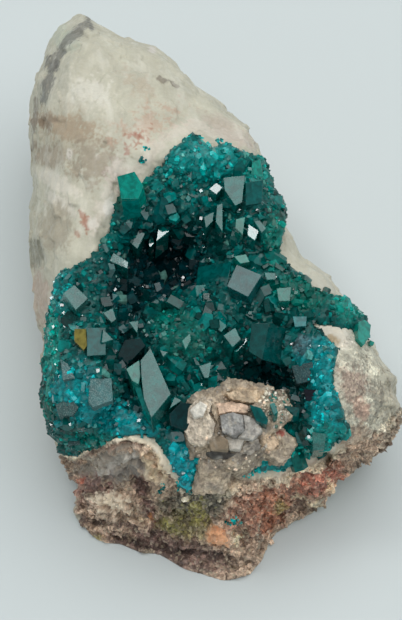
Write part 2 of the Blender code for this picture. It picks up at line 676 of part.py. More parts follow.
def main():
    for thing in list(bpy.data.objects):
        bpy.data.objects.remove(thing)
    specimen = bpy.data.collections.new("dioptase_on_matrix")
    cutters = bpy.data.collections.new("cutters")
    for collection in (specimen, cutters):
        bpy.context.scene.collection.children.link(collection)

    rock = make_rock()
    tree = BVHTree.FromPolygons(
        [vertex.co for vertex in rock.data.vertices],
        [polygon.vertices[:] for polygon in rock.data.polygons],
    )
    gap_rock = swollen(rock, "rock_with_gap", CRUST_GAP)
    skin_rock = bpy.data.objects.new("rock_with_skin", rock.data.copy())
    skin_rock.location = TOWARDS_EYE * CRUST_SKIN * MM
    window = crust_window()
    growth = make_crystals(tree)
    blocks = make_calcite(tree)
    helpers = (gap_rock, skin_rock, window, growth, blocks)
    for helper in helpers:
        cutters.objects.link(helper)

    calcite_room = bpy.data.objects.new("room_for_calcite", blocks.data.copy())
    for vertex in calcite_room.data.vertices:
        vertex.co += vertex.normal * CRUST_GAP * CORNER_REACH * MM
    cutters.objects.link(calcite_room)
    add_boolean(blocks, "DIFFERENCE", gap_rock, crossing=True)
    calcite = evaluated_copy(blocks, "calcite_crystals")
    largest_piece(calcite.data)

    add_boolean(skin_rock, "INTERSECT", window)
    add_boolean(skin_rock, "UNION", growth, crossing=True)
    add_boolean(skin_rock, "DIFFERENCE", gap_rock)
    add_boolean(skin_rock, "DIFFERENCE", calcite_room, crossing=True)
    dioptase = evaluated_copy(skin_rock, "dioptase_crust")
    largest_piece(dioptase.data)

    for part, (colour, roughness) in (
        (rock, MATRIX_COLOUR),
        (dioptase, DIOPTASE_COLOUR),
        (calcite, CALCITE_COLOUR),
    ):
        part.data.materials.clear()
        part.data.materials.append(make_material(part.name, colour, roughness))
        specimen.objects.link(part)
    for helper in list(cutters.objects):
        remove(helper)


main()
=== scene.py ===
"""The looks of a hand specimen of dioptase on its calcite matrix.

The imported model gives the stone, the crust of dioptase and the cluster of grey calcite. Each of
them is dressed here: the stone is broken and stained, the crust grows its crystals one by one,
and the cluster gets its cleaved faces. Places are how far across and up something shows in the
front view, in mm, so that a mark lies where the specimen carries it.
"""

import json
import logging
import math
from dataclasses import dataclass, field
from enum import Enum
from typing import Any, Iterator, Mapping, Sequence

import bpy
import numpy as np
from mathutils import Matrix, Vector, noise
from mathutils.bvhtree import BVHTree

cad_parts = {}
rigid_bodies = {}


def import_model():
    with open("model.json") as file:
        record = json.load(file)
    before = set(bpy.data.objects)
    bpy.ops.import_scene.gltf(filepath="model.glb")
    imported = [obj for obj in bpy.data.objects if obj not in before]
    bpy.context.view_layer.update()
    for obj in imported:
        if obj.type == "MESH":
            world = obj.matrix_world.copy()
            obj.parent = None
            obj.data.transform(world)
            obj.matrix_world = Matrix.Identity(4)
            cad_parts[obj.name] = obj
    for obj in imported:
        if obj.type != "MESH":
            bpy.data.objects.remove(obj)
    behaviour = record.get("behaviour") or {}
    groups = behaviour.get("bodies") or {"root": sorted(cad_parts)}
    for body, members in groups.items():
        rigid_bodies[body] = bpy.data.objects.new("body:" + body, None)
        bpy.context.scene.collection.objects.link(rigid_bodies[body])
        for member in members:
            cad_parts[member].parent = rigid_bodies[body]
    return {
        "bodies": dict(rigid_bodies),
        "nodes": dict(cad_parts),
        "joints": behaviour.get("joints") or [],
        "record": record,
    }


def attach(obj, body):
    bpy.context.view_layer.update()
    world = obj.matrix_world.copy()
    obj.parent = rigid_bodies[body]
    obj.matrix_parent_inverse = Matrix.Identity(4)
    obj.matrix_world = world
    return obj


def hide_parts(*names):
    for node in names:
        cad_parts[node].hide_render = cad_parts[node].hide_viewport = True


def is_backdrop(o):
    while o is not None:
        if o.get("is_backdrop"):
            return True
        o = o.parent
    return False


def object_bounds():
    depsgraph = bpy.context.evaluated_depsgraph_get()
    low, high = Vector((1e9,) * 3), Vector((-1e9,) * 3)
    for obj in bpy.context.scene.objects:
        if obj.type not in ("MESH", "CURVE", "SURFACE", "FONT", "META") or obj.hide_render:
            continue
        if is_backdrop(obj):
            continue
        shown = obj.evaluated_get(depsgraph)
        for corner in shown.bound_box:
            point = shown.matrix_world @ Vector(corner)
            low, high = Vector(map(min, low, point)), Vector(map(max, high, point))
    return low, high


LOG = logging.getLogger("dioptase_on_matrix")
MM = 0.001
ROOT_BODY = "root"

Array = np.ndarray
Colour = tuple[float, float, float]
Place = tuple[float, float]
Lean = tuple[float, float, float]
Piece = bpy.types.Object

# How far the crust stands off the stone towards the eye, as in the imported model.
CRUST_SKIN = 1.8

# The edge of the crust of dioptase.
CRUST_EDGE: list[Place] = [
    (-1.0, 25.2), (1.4, 23.4), (3.3, 24.0), (5.9, 22.8), (8.9, 21.8), (10.2, 17.0),
    (12.0, 15.8), (11.7, 12.2), (11.2, 7.6), (14.2, 5.3), (16.4, 3.0), (20.4, 1.8),
    (23.4, -1.0), (24.2, -4.4), (21.0, -2.8), (16.6, -2.2), (19.9, -5.6), (19.0, -10.0),
    (20.6, -14.6), (21.3, -17.6), (17.6, -20.2), (11.4, -22.9), (8.4, -23.2), (5.4, -21.6),
    (-2.2, -25.6), (-4.6, -22.4), (-6.6, -18.7), (-10.4, -18.2), (-14.4, -19.6),
    (-18.4, -21.0), (-21.4, -17.4), (-22.7, -12.6), (-22.2, -6.6), (-21.9, -0.6),
    (-20.6, 5.2), (-16.2, 7.6), (-13.4, 11.0), (-12.0, 16.4), (-11.8, 19.2), (-8.6, 18.2),
    (-6.0, 20.6), (-4.6, 23.0),
]

# Where the crystal face ends and the broken front wall begins.
WALL_BROW: list[Place] = [
    (-24.0, -17.0), (-20.6, -19.4), (-17.6, -20.2), (-14.4, -19.2), (-10.4, -18.0),
    (-7.4, -18.9), (-5.0, -22.6), (-2.3, -25.3), (4.1, -24.3), (10.0, -23.6), (14.1, -22.6),
    (18.0, -21.2), (21.4, -19.0), (24.4, -17.8), (29.0, -13.2),
]


def linear(colour: Colour) -> Array:
    """Turns a colour as it is looked at into the linear light that shaders use.

    Args:
        colour: red, green and blue, from 0 to 255.

    Returns:
        The three linear values.
    """
    share = np.array(colour, float) / 255
    return np.where(share <= 0.04045, share / 12.92, ((share + 0.055) / 1.055) ** 2.4)


def unit(vectors: Array) -> Array:
    """Makes the vector in each row 1 long."""
    return vectors / np.linalg.norm(vectors, axis=1)[:, None]


def smooth_step(low: float, high: float, value: Array) -> Array:
    """Rises softly from 0 where a value is at low to 1 where it is at high."""
    share = np.clip((value - low) / (high - low), 0, 1)
    return share * share * (3 - 2 * share)


def noise_at(points: Array, size: float, seed: float, octaves: int = 3) -> Array:
    """Fractal noise about 0 at each point.

    Args:
        points: places in metres, one in each row.
        size: how large its lumps are, in mm.
        seed: a number that sets it apart from other noise.
        octaves: how many finer layers it has.

    Returns:
        One value for each point, mostly between -1 and 1.
    """
    shift = Vector((seed, seed * 1.7, seed * 2.3))
    scaled = (points / (size * MM)).tolist()
    return np.array([noise.fractal(Vector(spot) + shift, 0.9, 2.1, octaves) for spot in scaled])


def facets_at(points: Array, size: float, seed: float) -> Array:
    """A faceted relief in which each cell is broken along a plane of its own.

    Args:
        points: places in metres, one in each row.
        size: how large the cells are, in mm.
        seed: a number that sets it apart from other reliefs.

    Returns:
        One height for each point, mostly between -0.5 and 0.5.
    """
    shift = Vector((seed, seed * 0.6, seed * 1.9))
    heights = []
    for spot in (points / (size * MM)).tolist():
        here = Vector(spot) + shift
        centre = noise.voronoi(here)[1][0]
        plane = Vector([math.sin(value * 12.7 + turn) for turn, value in enumerate(centre)])
        heights.append((here - centre).dot(plane))
    return np.array(heights)


def distance_to_line(places: Array, line: Sequence[Place], closed: bool = False) -> Array:
    """How far each place is from a line through some points, in mm.

    Args:
        places: across and up, one place in each row.
        line: the points of the line, in order.
        closed: whether it also runs from its last point to its first.

    Returns:
        One distance for each place.
    """
    ends = list(line[1:]) + ([line[0]] if closed else [])
    nearest = np.full(len(places), np.inf)
    for start, end in zip(line, ends):
        start_point, run = np.array(start), np.array(end) - np.array(start)
        offset = places - start_point
        share = np.clip(offset @ run / max(run @ run, 1e-9), 0, 1)
        nearest = np.minimum(nearest, np.linalg.norm(offset - share[:, None] * run, axis=1))
    return nearest


def inside(places: Array, outline: Sequence[Place]) -> Array:
    """Whether each place lies inside an outline."""
    result = np.zeros(len(places), bool)
    for (x1, y1), (x2, y2) in zip(outline, list(outline[1:]) + [outline[0]]):
        if y1 == y2:
            continue
        spans = (y1 > places[:, 1]) != (y2 > places[:, 1])
        result ^= spans & (places[:, 0] < x1 + (places[:, 1] - y1) / (y2 - y1) * (x2 - x1))
    return result


def depth_inside(places: Array, outline: Sequence[Place]) -> Array:
    """How far each place is inside an outline, in mm, and below 0 outside it."""
    sign = np.where(inside(places, outline), 1, -1)
    return sign * distance_to_line(places, outline, closed=True)


@dataclass
class FrontView:
    """The view down on the crystal face, in which every place on the specimen is given."""

    elevation: float = math.radians(60)
    distance: float = 350 * MM
    target: Vector = field(default_factory=lambda: Vector((-1.1, -10.3, 28)) * MM)
    shown_height: float = 88.57 * MM
    film: float = 36

    def __post_init__(self) -> None:
        """Works out the three directions of the view and where its eye is."""
        self.right = Vector((1, 0, 0))
        self.out = Vector((0, -math.cos(self.elevation), math.sin(self.elevation)))
        self.up = Vector((0, math.sin(self.elevation), math.cos(self.elevation)))
        self.eye = self.target + self.out * self.distance

    def direction(self, lean: Lean) -> Vector:
        """The direction that is so much to the right, up and out of the view."""
        right, up, out = lean
        return (self.right * right + self.up * up + self.out * out).normalized()

    def point(self, place: Place) -> Vector:
        """The point of the view's middle plane that shows at a place."""
        across, up = place
        return self.target + (self.right * across + self.up * up) * MM

    def sight(self, place: Place) -> Vector:
        """The direction from the eye to a place."""
        return (self.point(place) - self.eye).normalized()

    def places(self, points: Array) -> Array:
        """Where points show.

        Args:
            points: places in metres, one in each row.

        Returns:
            How far across and up each of them shows, in mm.
        """
        rays = points - np.array(self.eye)
        scale = self.distance / -(rays @ np.array(self.out))
        offset = np.array(self.eye - self.target) + rays * scale[:, None]
        return np.stack([offset @ np.array(self.right), offset @ np.array(self.up)], 1) / MM

    def facing(self, points: Array, normals: Array) -> Array:
        """How squarely each point's surface faces the eye, from -1 to 1."""
        return np.einsum("ij,ij->i", unit(np.array(self.eye) - points), normals)

    def add_camera(self) -> None:
        """Sets the scene's camera in the eye."""
        data = bpy.data.cameras.new("front_camera")
        data.sensor_width = self.film
        data.lens = self.film * self.distance / self.shown_height
        data.clip_start = 10 * MM
        camera = bpy.data.objects.new("front_camera", data)
        camera.location = self.eye
        camera.rotation_euler = (math.pi / 2 - self.elevation, 0, 0)
        bpy.context.scene.collection.objects.link(camera)
        bpy.context.scene.camera = camera


@dataclass(frozen=True)
class Lamp:
    """A square soft light that stands off the specimen in some direction of the view."""

    name: str
    lean: Lean
    distance: float
    side: float
    radiance: float
    colour: Colour = (1.0, 1.0, 1.0)

    def place(self, view: FrontView) -> Vector:
        """Where the middle of the lamp is."""
        return view.target + view.direction(self.lean) * self.distance

    def add(self, view: FrontView) -> None:
        """Adds the lamp to the scene, turned to the specimen."""
        data = bpy.data.lights.new(self.name, "AREA")
        data.shape = "SQUARE"
        data.size = self.side
        data.energy = self.radiance * math.pi * self.side**2
        data.color = self.colour
        lamp = bpy.data.objects.new(self.name, data)
        lamp.location = self.place(view)
        turned = (view.target - lamp.location).to_track_quat("-Z", "Y")
        lamp.rotation_euler = turned.to_euler()
        bpy.context.scene.collection.objects.link(lamp)


BROAD_LAMP = Lamp("broad_lamp", (0.13, 0.53, 0.83), 0.60, 0.74, 2.35)
SMALL_LAMP = Lamp("small_lamp", (-0.35, 0.55, 0.76), 0.60, 0.12, 9.5)


class Gleam(Enum):
    """What a crystal face mirrors to the front view."""

    SHEEN = BROAD_LAMP
    GLINT = SMALL_LAMP
    DIM = None


def deselect_all() -> None:
    """Leaves edit mode with nothing selected."""
    if bpy.context.object and bpy.context.object.mode != "OBJECT":
        bpy.ops.object.mode_set(mode="OBJECT")
    bpy.ops.object.select_all(action="DESELECT")


def pick(piece: Piece) -> None:
    """Selects one piece alone and makes it the active one."""
    deselect_all()
    piece.select_set(True)
    bpy.context.view_layer.objects.active = piece


def select_nothing_in(piece: Piece, kind: str) -> None:
    """Leaves a piece's mesh with none of its vertices or faces selected, out of edit mode."""
    pick(piece)
    bpy.ops.object.mode_set(mode="EDIT")
    bpy.ops.mesh.select_mode(type=kind)
    bpy.ops.mesh.select_all(action="DESELECT")
    bpy.ops.object.mode_set(mode="OBJECT")


def copied_node(frame: Mapping[str, Any], node: str, name: str) -> Piece:
    """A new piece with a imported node's mesh, its loose triangles merged.

    Args:
        node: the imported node's name.
        name: the new piece's name.

    Returns:
        The new piece, selected.
    """
    mesh = frame["nodes"][node].data.copy()
    mesh.materials.clear()
    piece = bpy.data.objects.new(name, mesh)
    bpy.context.scene.collection.objects.link(piece)
    pick(piece)
    bpy.ops.object.mode_set(mode="EDIT")
    bpy.ops.mesh.select_all(action="SELECT")
    bpy.ops.mesh.remove_doubles(threshold=0.001 * MM)
    bpy.ops.mesh.normals_make_consistent(inside=False)
    bpy.ops.object.mode_set(mode="OBJECT")
    return piece


def add_modifier(piece: Piece, kind: str, **settings: Any) -> None:
    """Adds a modifier to a piece and applies it.

    Args:
        piece: the piece that is finished by it.
        kind: the modifier's type.
        settings: its values by name.
    """
    pick(piece)
    modifier = piece.modifiers.new(kind.lower(), kind)
    for name, value in settings.items():
        setattr(modifier, name, value)
    bpy.ops.object.modifier_apply(modifier=modifier.name)


def remesh(piece: Piece, voxel: float, smoothing: int) -> None:
    """Gives a piece a fine even mesh, with its hard edges eased.

    Args:
        piece: the piece.
        voxel: how large its faces become, in mm.
        smoothing: how many times it is eased.
    """
    add_modifier(piece, "REMESH", mode="VOXEL", voxel_size=voxel * MM, use_smooth_shade=True)
    add_modifier(piece, "SMOOTH", factor=0.5, iterations=smoothing)


def points_of(piece: Piece) -> tuple[Array, Array]:
    """A piece's vertices and their normals, one in each row."""
    mesh = piece.data
    points = np.empty(len(mesh.vertices) * 3, np.float32)
    normals = np.empty(len(mesh.vertices) * 3, np.float32)
    mesh.vertices.foreach_get("co", points)
    mesh.vertex_normals.foreach_get("vector", normals)
    return points.reshape(-1, 3).astype(float), normals.reshape(-1, 3).astype(float)


def move_points(piece: Piece, points: Array) -> None:
    """Puts a piece's vertices at new places."""
    piece.data.vertices.foreach_set("co", points.astype(np.float32).ravel())
    piece.data.update()


def keep_in_box(points: Array, box: tuple[Vector, Vector]) -> Array:
    """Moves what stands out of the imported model's box back to its sides."""
    low, high = (np.array(corner) for corner in box)
    return np.clip(points, low, high)


def store_colour(piece: Piece, name: str, colours: Array) -> None:
    """Stores one linear colour for each vertex as a named attribute."""
    attribute = piece.data.attributes.new(name, "FLOAT_COLOR", "POINT")
    filled = np.ones((len(colours), 4), np.float32)
    filled[:, :3] = np.clip(colours, 0, 1)
    attribute.data.foreach_set("color", filled.ravel())


def store_value(piece: Piece, name: str, values: Array) -> None:
    """Stores one number for each vertex as a named attribute."""
    attribute = piece.data.attributes.new(name, "FLOAT", "POINT")
    attribute.data.foreach_set("value", values.astype(np.float32))


def new_piece(name: str, points: Array, faces: Sequence[Sequence[int]]) -> Piece:
    """A piece from joined copies of a shape that was modelled once."""
    mesh = bpy.data.meshes.new(name)
    mesh.from_pydata(points.tolist(), [], faces)
    mesh.update()
    piece = bpy.data.objects.new(name, mesh)
    bpy.context.scene.collection.objects.link(piece)
    return piece


def tree_of(piece: Piece) -> BVHTree:
    """A search tree over a piece's faces."""
    mesh = piece.data
    points = [vertex.co for vertex in mesh.vertices]
    return BVHTree.FromPolygons(points, [face.vertices[:] for face in mesh.polygons])


def settle(piece: Piece, node: str, material: bpy.types.Material) -> None:
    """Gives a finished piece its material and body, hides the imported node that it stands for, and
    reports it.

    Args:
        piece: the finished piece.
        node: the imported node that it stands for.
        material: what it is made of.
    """
    piece.data.materials.clear()
    piece.data.materials.append(material)
    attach(piece, ROOT_BODY)
    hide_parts(node)
    triangles = sum(len(face.vertices) - 2 for face in piece.data.polygons)
    LOG.info("%s: %d triangles", piece.name, triangles)


@dataclass(frozen=True)
class Patch:
    """A soft-edged oval of colour, which may also stand out."""

    place: Place
    half: Place
    turn: float
    colour: Colour
    strength: float = 0.85
    rise: float = 0.0
    broken: float = 0.45

    def share(self, places: Array, wobble: Array) -> Array:
        """How much of the patch is at each place, from 0 to 1.

        Args:
            places: across and up, one place in each row.
            wobble: noise that makes its edge uneven.

        Returns:
            One share for each place.
        """
        offset = places - np.array(self.place)
        turn = math.radians(self.turn)
        along = offset[:, 0] * math.cos(turn) + offset[:, 1] * math.sin(turn)
        aside = offset[:, 1] * math.cos(turn) - offset[:, 0] * math.sin(turn)
        spread = np.hypot(along / self.half[0], aside / self.half[1]) + self.broken * wobble
        return smooth_step(1.25, 0.7, spread)


def area(place: Place, half: Place, turn: float = 0.0, strength: float = 1.0) -> Patch:
    """A patch that only says where something lies, and how much of it."""
    return Patch(place, half, turn, (0, 0, 0), strength)


@dataclass(frozen=True)
class Streak:
    """A band of colour along a line, which may also stand out."""

    line: tuple[Place, ...]
    half_width: float
    colour: Colour
    strength: float = 0.85
    rise: float = 0.0
    broken: float = 0.5

    def share(self, places: Array, wobble: Array) -> Array:
        """How much of the streak is at each place, from 0 to 1.

        Args:
            places: across and up, one place in each row.
            wobble: noise that makes its edge uneven.

        Returns:
            One share for each place.
        """
        spread = distance_to_line(places, self.line) / self.half_width + self.broken * wobble
        return smooth_step(1.4, 0.6, spread)


def paint(
    base: Array, marks: Mapping[str, Patch | Streak], places: Array, wobble: Array, front: Array
) -> tuple[Array, Array]:
    """Lays marks over a base colour in turn.

    Args:
        base: one linear colour for each place.
        marks: the marks by name, the lowest first.
        places: across and up, one place in each row.
        wobble: noise that makes their edges uneven.
        front: how much each place belongs to the side that the marks are on, from 0 to 1.

    Returns:
        The painted colours, and how far each place stands out, in mm.
    """
    colours, rise = base.copy(), np.zeros(len(places))
    for mark in marks.values():
        share = mark.share(places, wobble) * front
        colours += (linear(mark.colour) - colours) * (share * mark.strength)[:, None]
        rise += share * mark.rise
    return colours, rise


# Where a Mix node keeps its two colours and the mixed one.
MIX_FIRST, MIX_SECOND, MIX_RESULT = 6, 7, 2


class NodeBoard:
    """A node material while it is wired up."""

    def __init__(self, name: str) -> None:
        """Starts a material with a plain surface.

        Args:
            name: the finish's name.
        """
        self.material = bpy.data.materials.new(name)
        self.material.use_nodes = True
        self.tree = self.material.node_tree
        self.surface = self.tree.nodes["Principled BSDF"]
        self.place = self.add("ShaderNodeTexCoord").outputs["Object"]

    def add(self, kind: str, **settings: Any) -> bpy.types.Node:
        """Adds a node with some of its settings."""
        node = self.tree.nodes.new(kind)
        for name, value in settings.items():
            setattr(node, name, value)
        return node

    def feed(self, socket: bpy.types.NodeSocket, value: Any) -> None:
        """Links a socket to another, or sets it to a plain value."""
        if isinstance(value, bpy.types.NodeSocket):
            self.tree.links.new(value, socket)
        else:
            socket.default_value = value

    def attribute(self, name: str, output: str = "Color") -> bpy.types.NodeSocket:
        """Reads one of the piece's own attributes."""
        return self.add("ShaderNodeAttribute", attribute_name=name).outputs[output]

    def stretched(self, turn: Lean, scale: Lean) -> bpy.types.NodeSocket:
        """The place on the piece, turned in degrees and scaled along each axis."""
        node = self.add("ShaderNodeMapping")
        self.feed(node.inputs["Vector"], self.place)
        node.inputs["Rotation"].default_value = [math.radians(angle) for angle in turn]
        node.inputs["Scale"].default_value = scale
        return node.outputs["Vector"]

    def cloud(
        self, size: float, detail: float = 4, place: Any = None, warp: float = 0
    ) -> bpy.types.NodeSocket:
        """Noise whose lumps have a size in mm.

        Args:
            size: how large the lumps are, in mm.
            detail: how many finer layers it has.
            place: where it is read, the piece's own places by default.
            warp: how much it is drawn out of shape.

        Returns:
            Its value, from 0 to 1.
        """
        node = self.add("ShaderNodeTexNoise")
        self.feed(node.inputs["Vector"], place or self.place)
        node.inputs["Scale"].default_value = 1 / (size * MM)
        node.inputs["Detail"].default_value = detail
        node.inputs["Distortion"].default_value = warp
        return node.outputs["Fac"]

    def cells(self, size: float, feature: str, output: str) -> bpy.types.NodeSocket:
        """Cells whose size is in mm.

        Args:
            size: how large the cells are, in mm.
            feature: F1 for cells, DISTANCE_TO_EDGE for the lines between them.
            output: which of the node's outputs is wanted.

        Returns:
            That output.
        """
        node = self.add("ShaderNodeTexVoronoi", feature=feature)
        self.feed(node.inputs["Vector"], self.place)
        node.inputs["Scale"].default_value = 1 / (size * MM)
        return node.outputs[output]

    def parts(self, colour: bpy.types.NodeSocket) -> Sequence[bpy.types.NodeSocket]:
        """The three values that a colour is made of."""
        node = self.add("ShaderNodeSeparateColor")
        self.feed(node.inputs["Color"], colour)
        return list(node.outputs)

    def ramp(self, value: Any, low: float, high: float, start: float, end: float) -> Any:
        """Maps a value between low and high softly to one between start and end."""
        node = self.add("ShaderNodeMapRange", interpolation_type="SMOOTHSTEP")
        for socket, given in zip(node.inputs, (value, low, high, start, end)):
            self.feed(socket, given)
        return node.outputs["Result"]

    def maths(self, operation: str, first: Any, second: Any) -> bpy.types.NodeSocket:
        """One sum on two values."""
        node = self.add("ShaderNodeMath", operation=operation)
        self.feed(node.inputs[0], first)
        self.feed(node.inputs[1], second)
        return node.outputs[0]

    def mix(self, share: Any, first: Any, second: Any, blend: str = "MIX") -> Any:
        """Mixes two colours."""
        node = self.add("ShaderNodeMix", data_type="RGBA", blend_type=blend)
        self.feed(node.inputs[0], share)
        self.feed(node.inputs[MIX_FIRST], first)
        self.feed(node.inputs[MIX_SECOND], second)
        return node.outputs[MIX_RESULT]

    def grey(self, value: Any) -> bpy.types.NodeSocket:
        """A value as a grey colour."""
        node = self.add("ShaderNodeCombineColor")
        for socket in node.inputs:
            self.feed(socket, value)
        return node.outputs["Color"]

    def bump(self, height: Any, strength: Any, distance: float, under: Any = None) -> Any:
        """Bumps the surface by a height.

        Args:
            height: the height's value.
            strength: how strong it is, from 0 to 1.
            distance: how high the value 1 is, in mm.
            under: a bump that this one lies on.

        Returns:
            The bumped normal.
        """
        node = self.add("ShaderNodeBump")
        self.feed(node.inputs["Height"], height)
        self.feed(node.inputs["Strength"], strength)
        node.inputs["Distance"].default_value = distance * MM
        if under:
            self.feed(node.inputs["Normal"], under)
        return node.outputs["Normal"]


@dataclass(frozen=True)
class StoneFinish:
    """Calcite and broken rock: cloudy and faintly translucent, with grains where it is gritty."""

    name: str
    sheen: float = 0.42
    dull: float = 0.88
    glow: float = 0.10

    def material(self) -> bpy.types.Material:
        """Wires up the finish.

        Returns:
            The material, which reads the attributes tint and grit.
        """
        board = NodeBoard(self.name)
        tint, grit = board.attribute("tint"), board.attribute("grit", "Fac")
        colour = self.shaded(board, tint, board.cloud(2.6, 5, warp=0.5), grit, 0.06, 0.40)
        colour = self.shaded(board, colour, board.cloud(0.30, 3), grit, 0.05, 0.30)
        grains = board.parts(board.cells(0.42, "F1", "Color"))
        colour = self.shaded(board, colour, grains[0], grit, 0.0, 0.30)
        lumps = board.parts(board.cells(1.3, "F1", "Color"))
        colour = self.shaded(board, colour, lumps[0], grit, 0.0, 0.30)
        pale = board.maths("MULTIPLY", board.ramp(grains[1], 0.82, 0.90, 0, 0.40), grit)
        colour = board.mix(pale, colour, (*linear((214, 200, 172)), 1))
        deep = board.maths("MULTIPLY", board.ramp(grains[2], 0.86, 0.94, 0, 0.50), grit)
        colour = board.mix(deep, colour, (*linear((66, 50, 42)), 1))
        # A stretched noise along the cleavage paints paler and darker streaks: painted highlights
        # and painted shade of the cleavage steps.
        along = board.stretched((20, -20, 58), (1.0, 0.30, 0.8))
        cleaved = board.cloud(1.9, 4, along, 0.3)
        calm = board.maths("SUBTRACT", 1.0, grit)
        bright = board.maths("MULTIPLY", board.ramp(cleaved, 0.50, 0.75, 0, 0.26), calm)
        colour = board.mix(bright, colour, (*linear((226, 224, 212)), 1))
        shadow = board.maths("MULTIPLY", board.ramp(cleaved, 0.28, 0.42, 0.17, 0), calm)
        colour = board.mix(shadow, colour, (*linear((158, 150, 130)), 1))
        board.feed(board.surface.inputs["Base Color"], colour)

        fine = board.bump(board.cloud(0.20, 4), 0.4, 0.08)
        flakes = board.bump(cleaved, board.maths("MULTIPLY", calm, 0.5), 0.35, fine)
        granules = board.cells(0.42, "F1", "Distance")
        rough = board.bump(granules, board.maths("MULTIPLY", grit, 0.8), 0.35, flakes)
        board.feed(board.surface.inputs["Normal"], rough)
        gloss = board.ramp(board.cloud(0.8, 3), 0.35, 0.65, self.sheen, self.dull)
        board.feed(board.surface.inputs["Roughness"], gloss)
        board.surface.inputs["IOR"].default_value = 1.5
        board.surface.inputs["Subsurface Weight"].default_value = self.glow
        board.surface.inputs["Subsurface Radius"].default_value = (1.0, 0.8, 0.6)
        board.surface.inputs["Subsurface Scale"].default_value = 1.2 * MM
        return board.material

    @staticmethod
    def shaded(
        board: NodeBoard, colour: Any, value: Any, grit: Any, calm: float, gritty: float
    ) -> bpy.types.NodeSocket:
        """Lightens and darkens a colour by a value.

        Args:
            board: the material's board.
            colour: the colour.
            value: what varies it, from 0 to 1.
            grit: how gritty the surface is, from 0 to 1.
            calm: how far it varies where nothing is gritty, as a share.
            gritty: how much further it varies where all is gritty.

        Returns:
            The varied colour.
        """
        span = board.maths("MULTIPLY_ADD", grit, gritty)
        span.node.inputs[2].default_value = calm
        centred = board.ramp(value, 0.2, 0.8, -1, 1)
        factor = board.maths("MULTIPLY_ADD", centred, span)
        factor.node.inputs[2].default_value = 1
        return board.mix(1.0, colour, board.grey(factor), "MULTIPLY")


@dataclass(frozen=True)
class DioptaseFinish:
    """Emerald green crystal: glossy faces over a green that clouds and deepens inside."""

    name: str
    see_through: float
    roughness: float
    cloud_size: float
    relief: float = 0.03
    mirror: float = 0.5

    def material(self) -> bpy.types.Material:
        """Wires up the finish.

        Returns:
            The material, which reads the attributes tone and etch.
        """
        board = NodeBoard(self.name)
        tone, etch = board.attribute("tone"), board.attribute("etch", "Fac")
        cloud = board.ramp(board.cloud(self.cloud_size, 5, warp=0.8), 0.25, 0.75, 0.62, 1.42)
        colour = board.mix(1.0, tone, board.grey(cloud), "MULTIPLY")
        grains = board.ramp(board.cloud(0.16, 2), 0.48, 0.66, 0, 0.75)
        dulled = board.mix(0.5, colour, (0.10, 0.13, 0.13, 1))
        frosted = board.mix(grains, dulled, (0.30, 0.40, 0.38, 1))
        colour = board.mix(etch, colour, frosted)
        board.feed(board.surface.inputs["Base Color"], colour)
        wave = board.bump(board.cloud(0.9, 2), self.relief, 0.10)
        frost = board.bump(board.cells(0.20, "F1", "Distance"), etch, 0.12, wave)
        board.feed(board.surface.inputs["Normal"], frost)
        gloss = board.ramp(etch, 0, 1, self.roughness, 0.42)
        board.feed(board.surface.inputs["Roughness"], gloss)
        board.surface.inputs["IOR"].default_value = 1.66
        board.surface.inputs["Specular IOR Level"].default_value = self.mirror
        board.surface.inputs["Transmission Weight"].default_value = self.see_through
        return board.material


def make_grains(
    name: str, seats: Array, sizes: Array, tints: Array, grit: float, draw: np.random.Generator
) -> Piece:
    """Copies an angular grain to many seats.

    Args:
        name: the piece's name.
        seats: where the grains lie.
        sizes: how large each is, in metres.
        tints: the colour of each, in linear light.
        grit: how gritty their own surface is, from 0 to 1.
        draw: where the random numbers come from.

    Returns:
        All of them as one piece.
    """
    deselect_all()
    bpy.ops.mesh.primitive_cube_add(size=1)
    grain = bpy.context.object
    bpy.ops.object.mode_set(mode="EDIT")
    for corner in ((1, 1, 1), (-1, 1, -1)):
        bpy.ops.mesh.select_all(action="SELECT")
        bpy.ops.mesh.bisect(
            plane_co=[0.32 * value for value in corner], plane_no=corner,
            use_fill=True, clear_outer=True,
        )
    bpy.ops.mesh.select_all(action="SELECT")
    bpy.ops.mesh.normals_make_consistent(inside=False)
    bpy.ops.object.mode_set(mode="OBJECT")
    shape = points_of(grain)[0]
    faces = [tuple(face.vertices) for face in grain.data.polygons]
    bpy.data.objects.remove(grain)
    points, all_faces = [], []
    for index, (seat, size) in enumerate(zip(seats, sizes)):
        turned = Vector(draw.normal(size=3)).to_track_quat("Z", "Y").to_matrix()
        widths = size * draw.uniform(0.6, 1.3, 3)
        points.append((shape * widths) @ np.array(turned).T + seat)
        first = index * len(shape)
        all_faces.extend(tuple(first + corner for corner in face) for face in faces)
    piece = new_piece(name, np.concatenate(points), all_faces)
    store_colour(piece, "tint", np.repeat(tints, len(shape), axis=0))
    store_value(piece, "grit", np.full(len(shape) * len(seats), grit))
    return piece
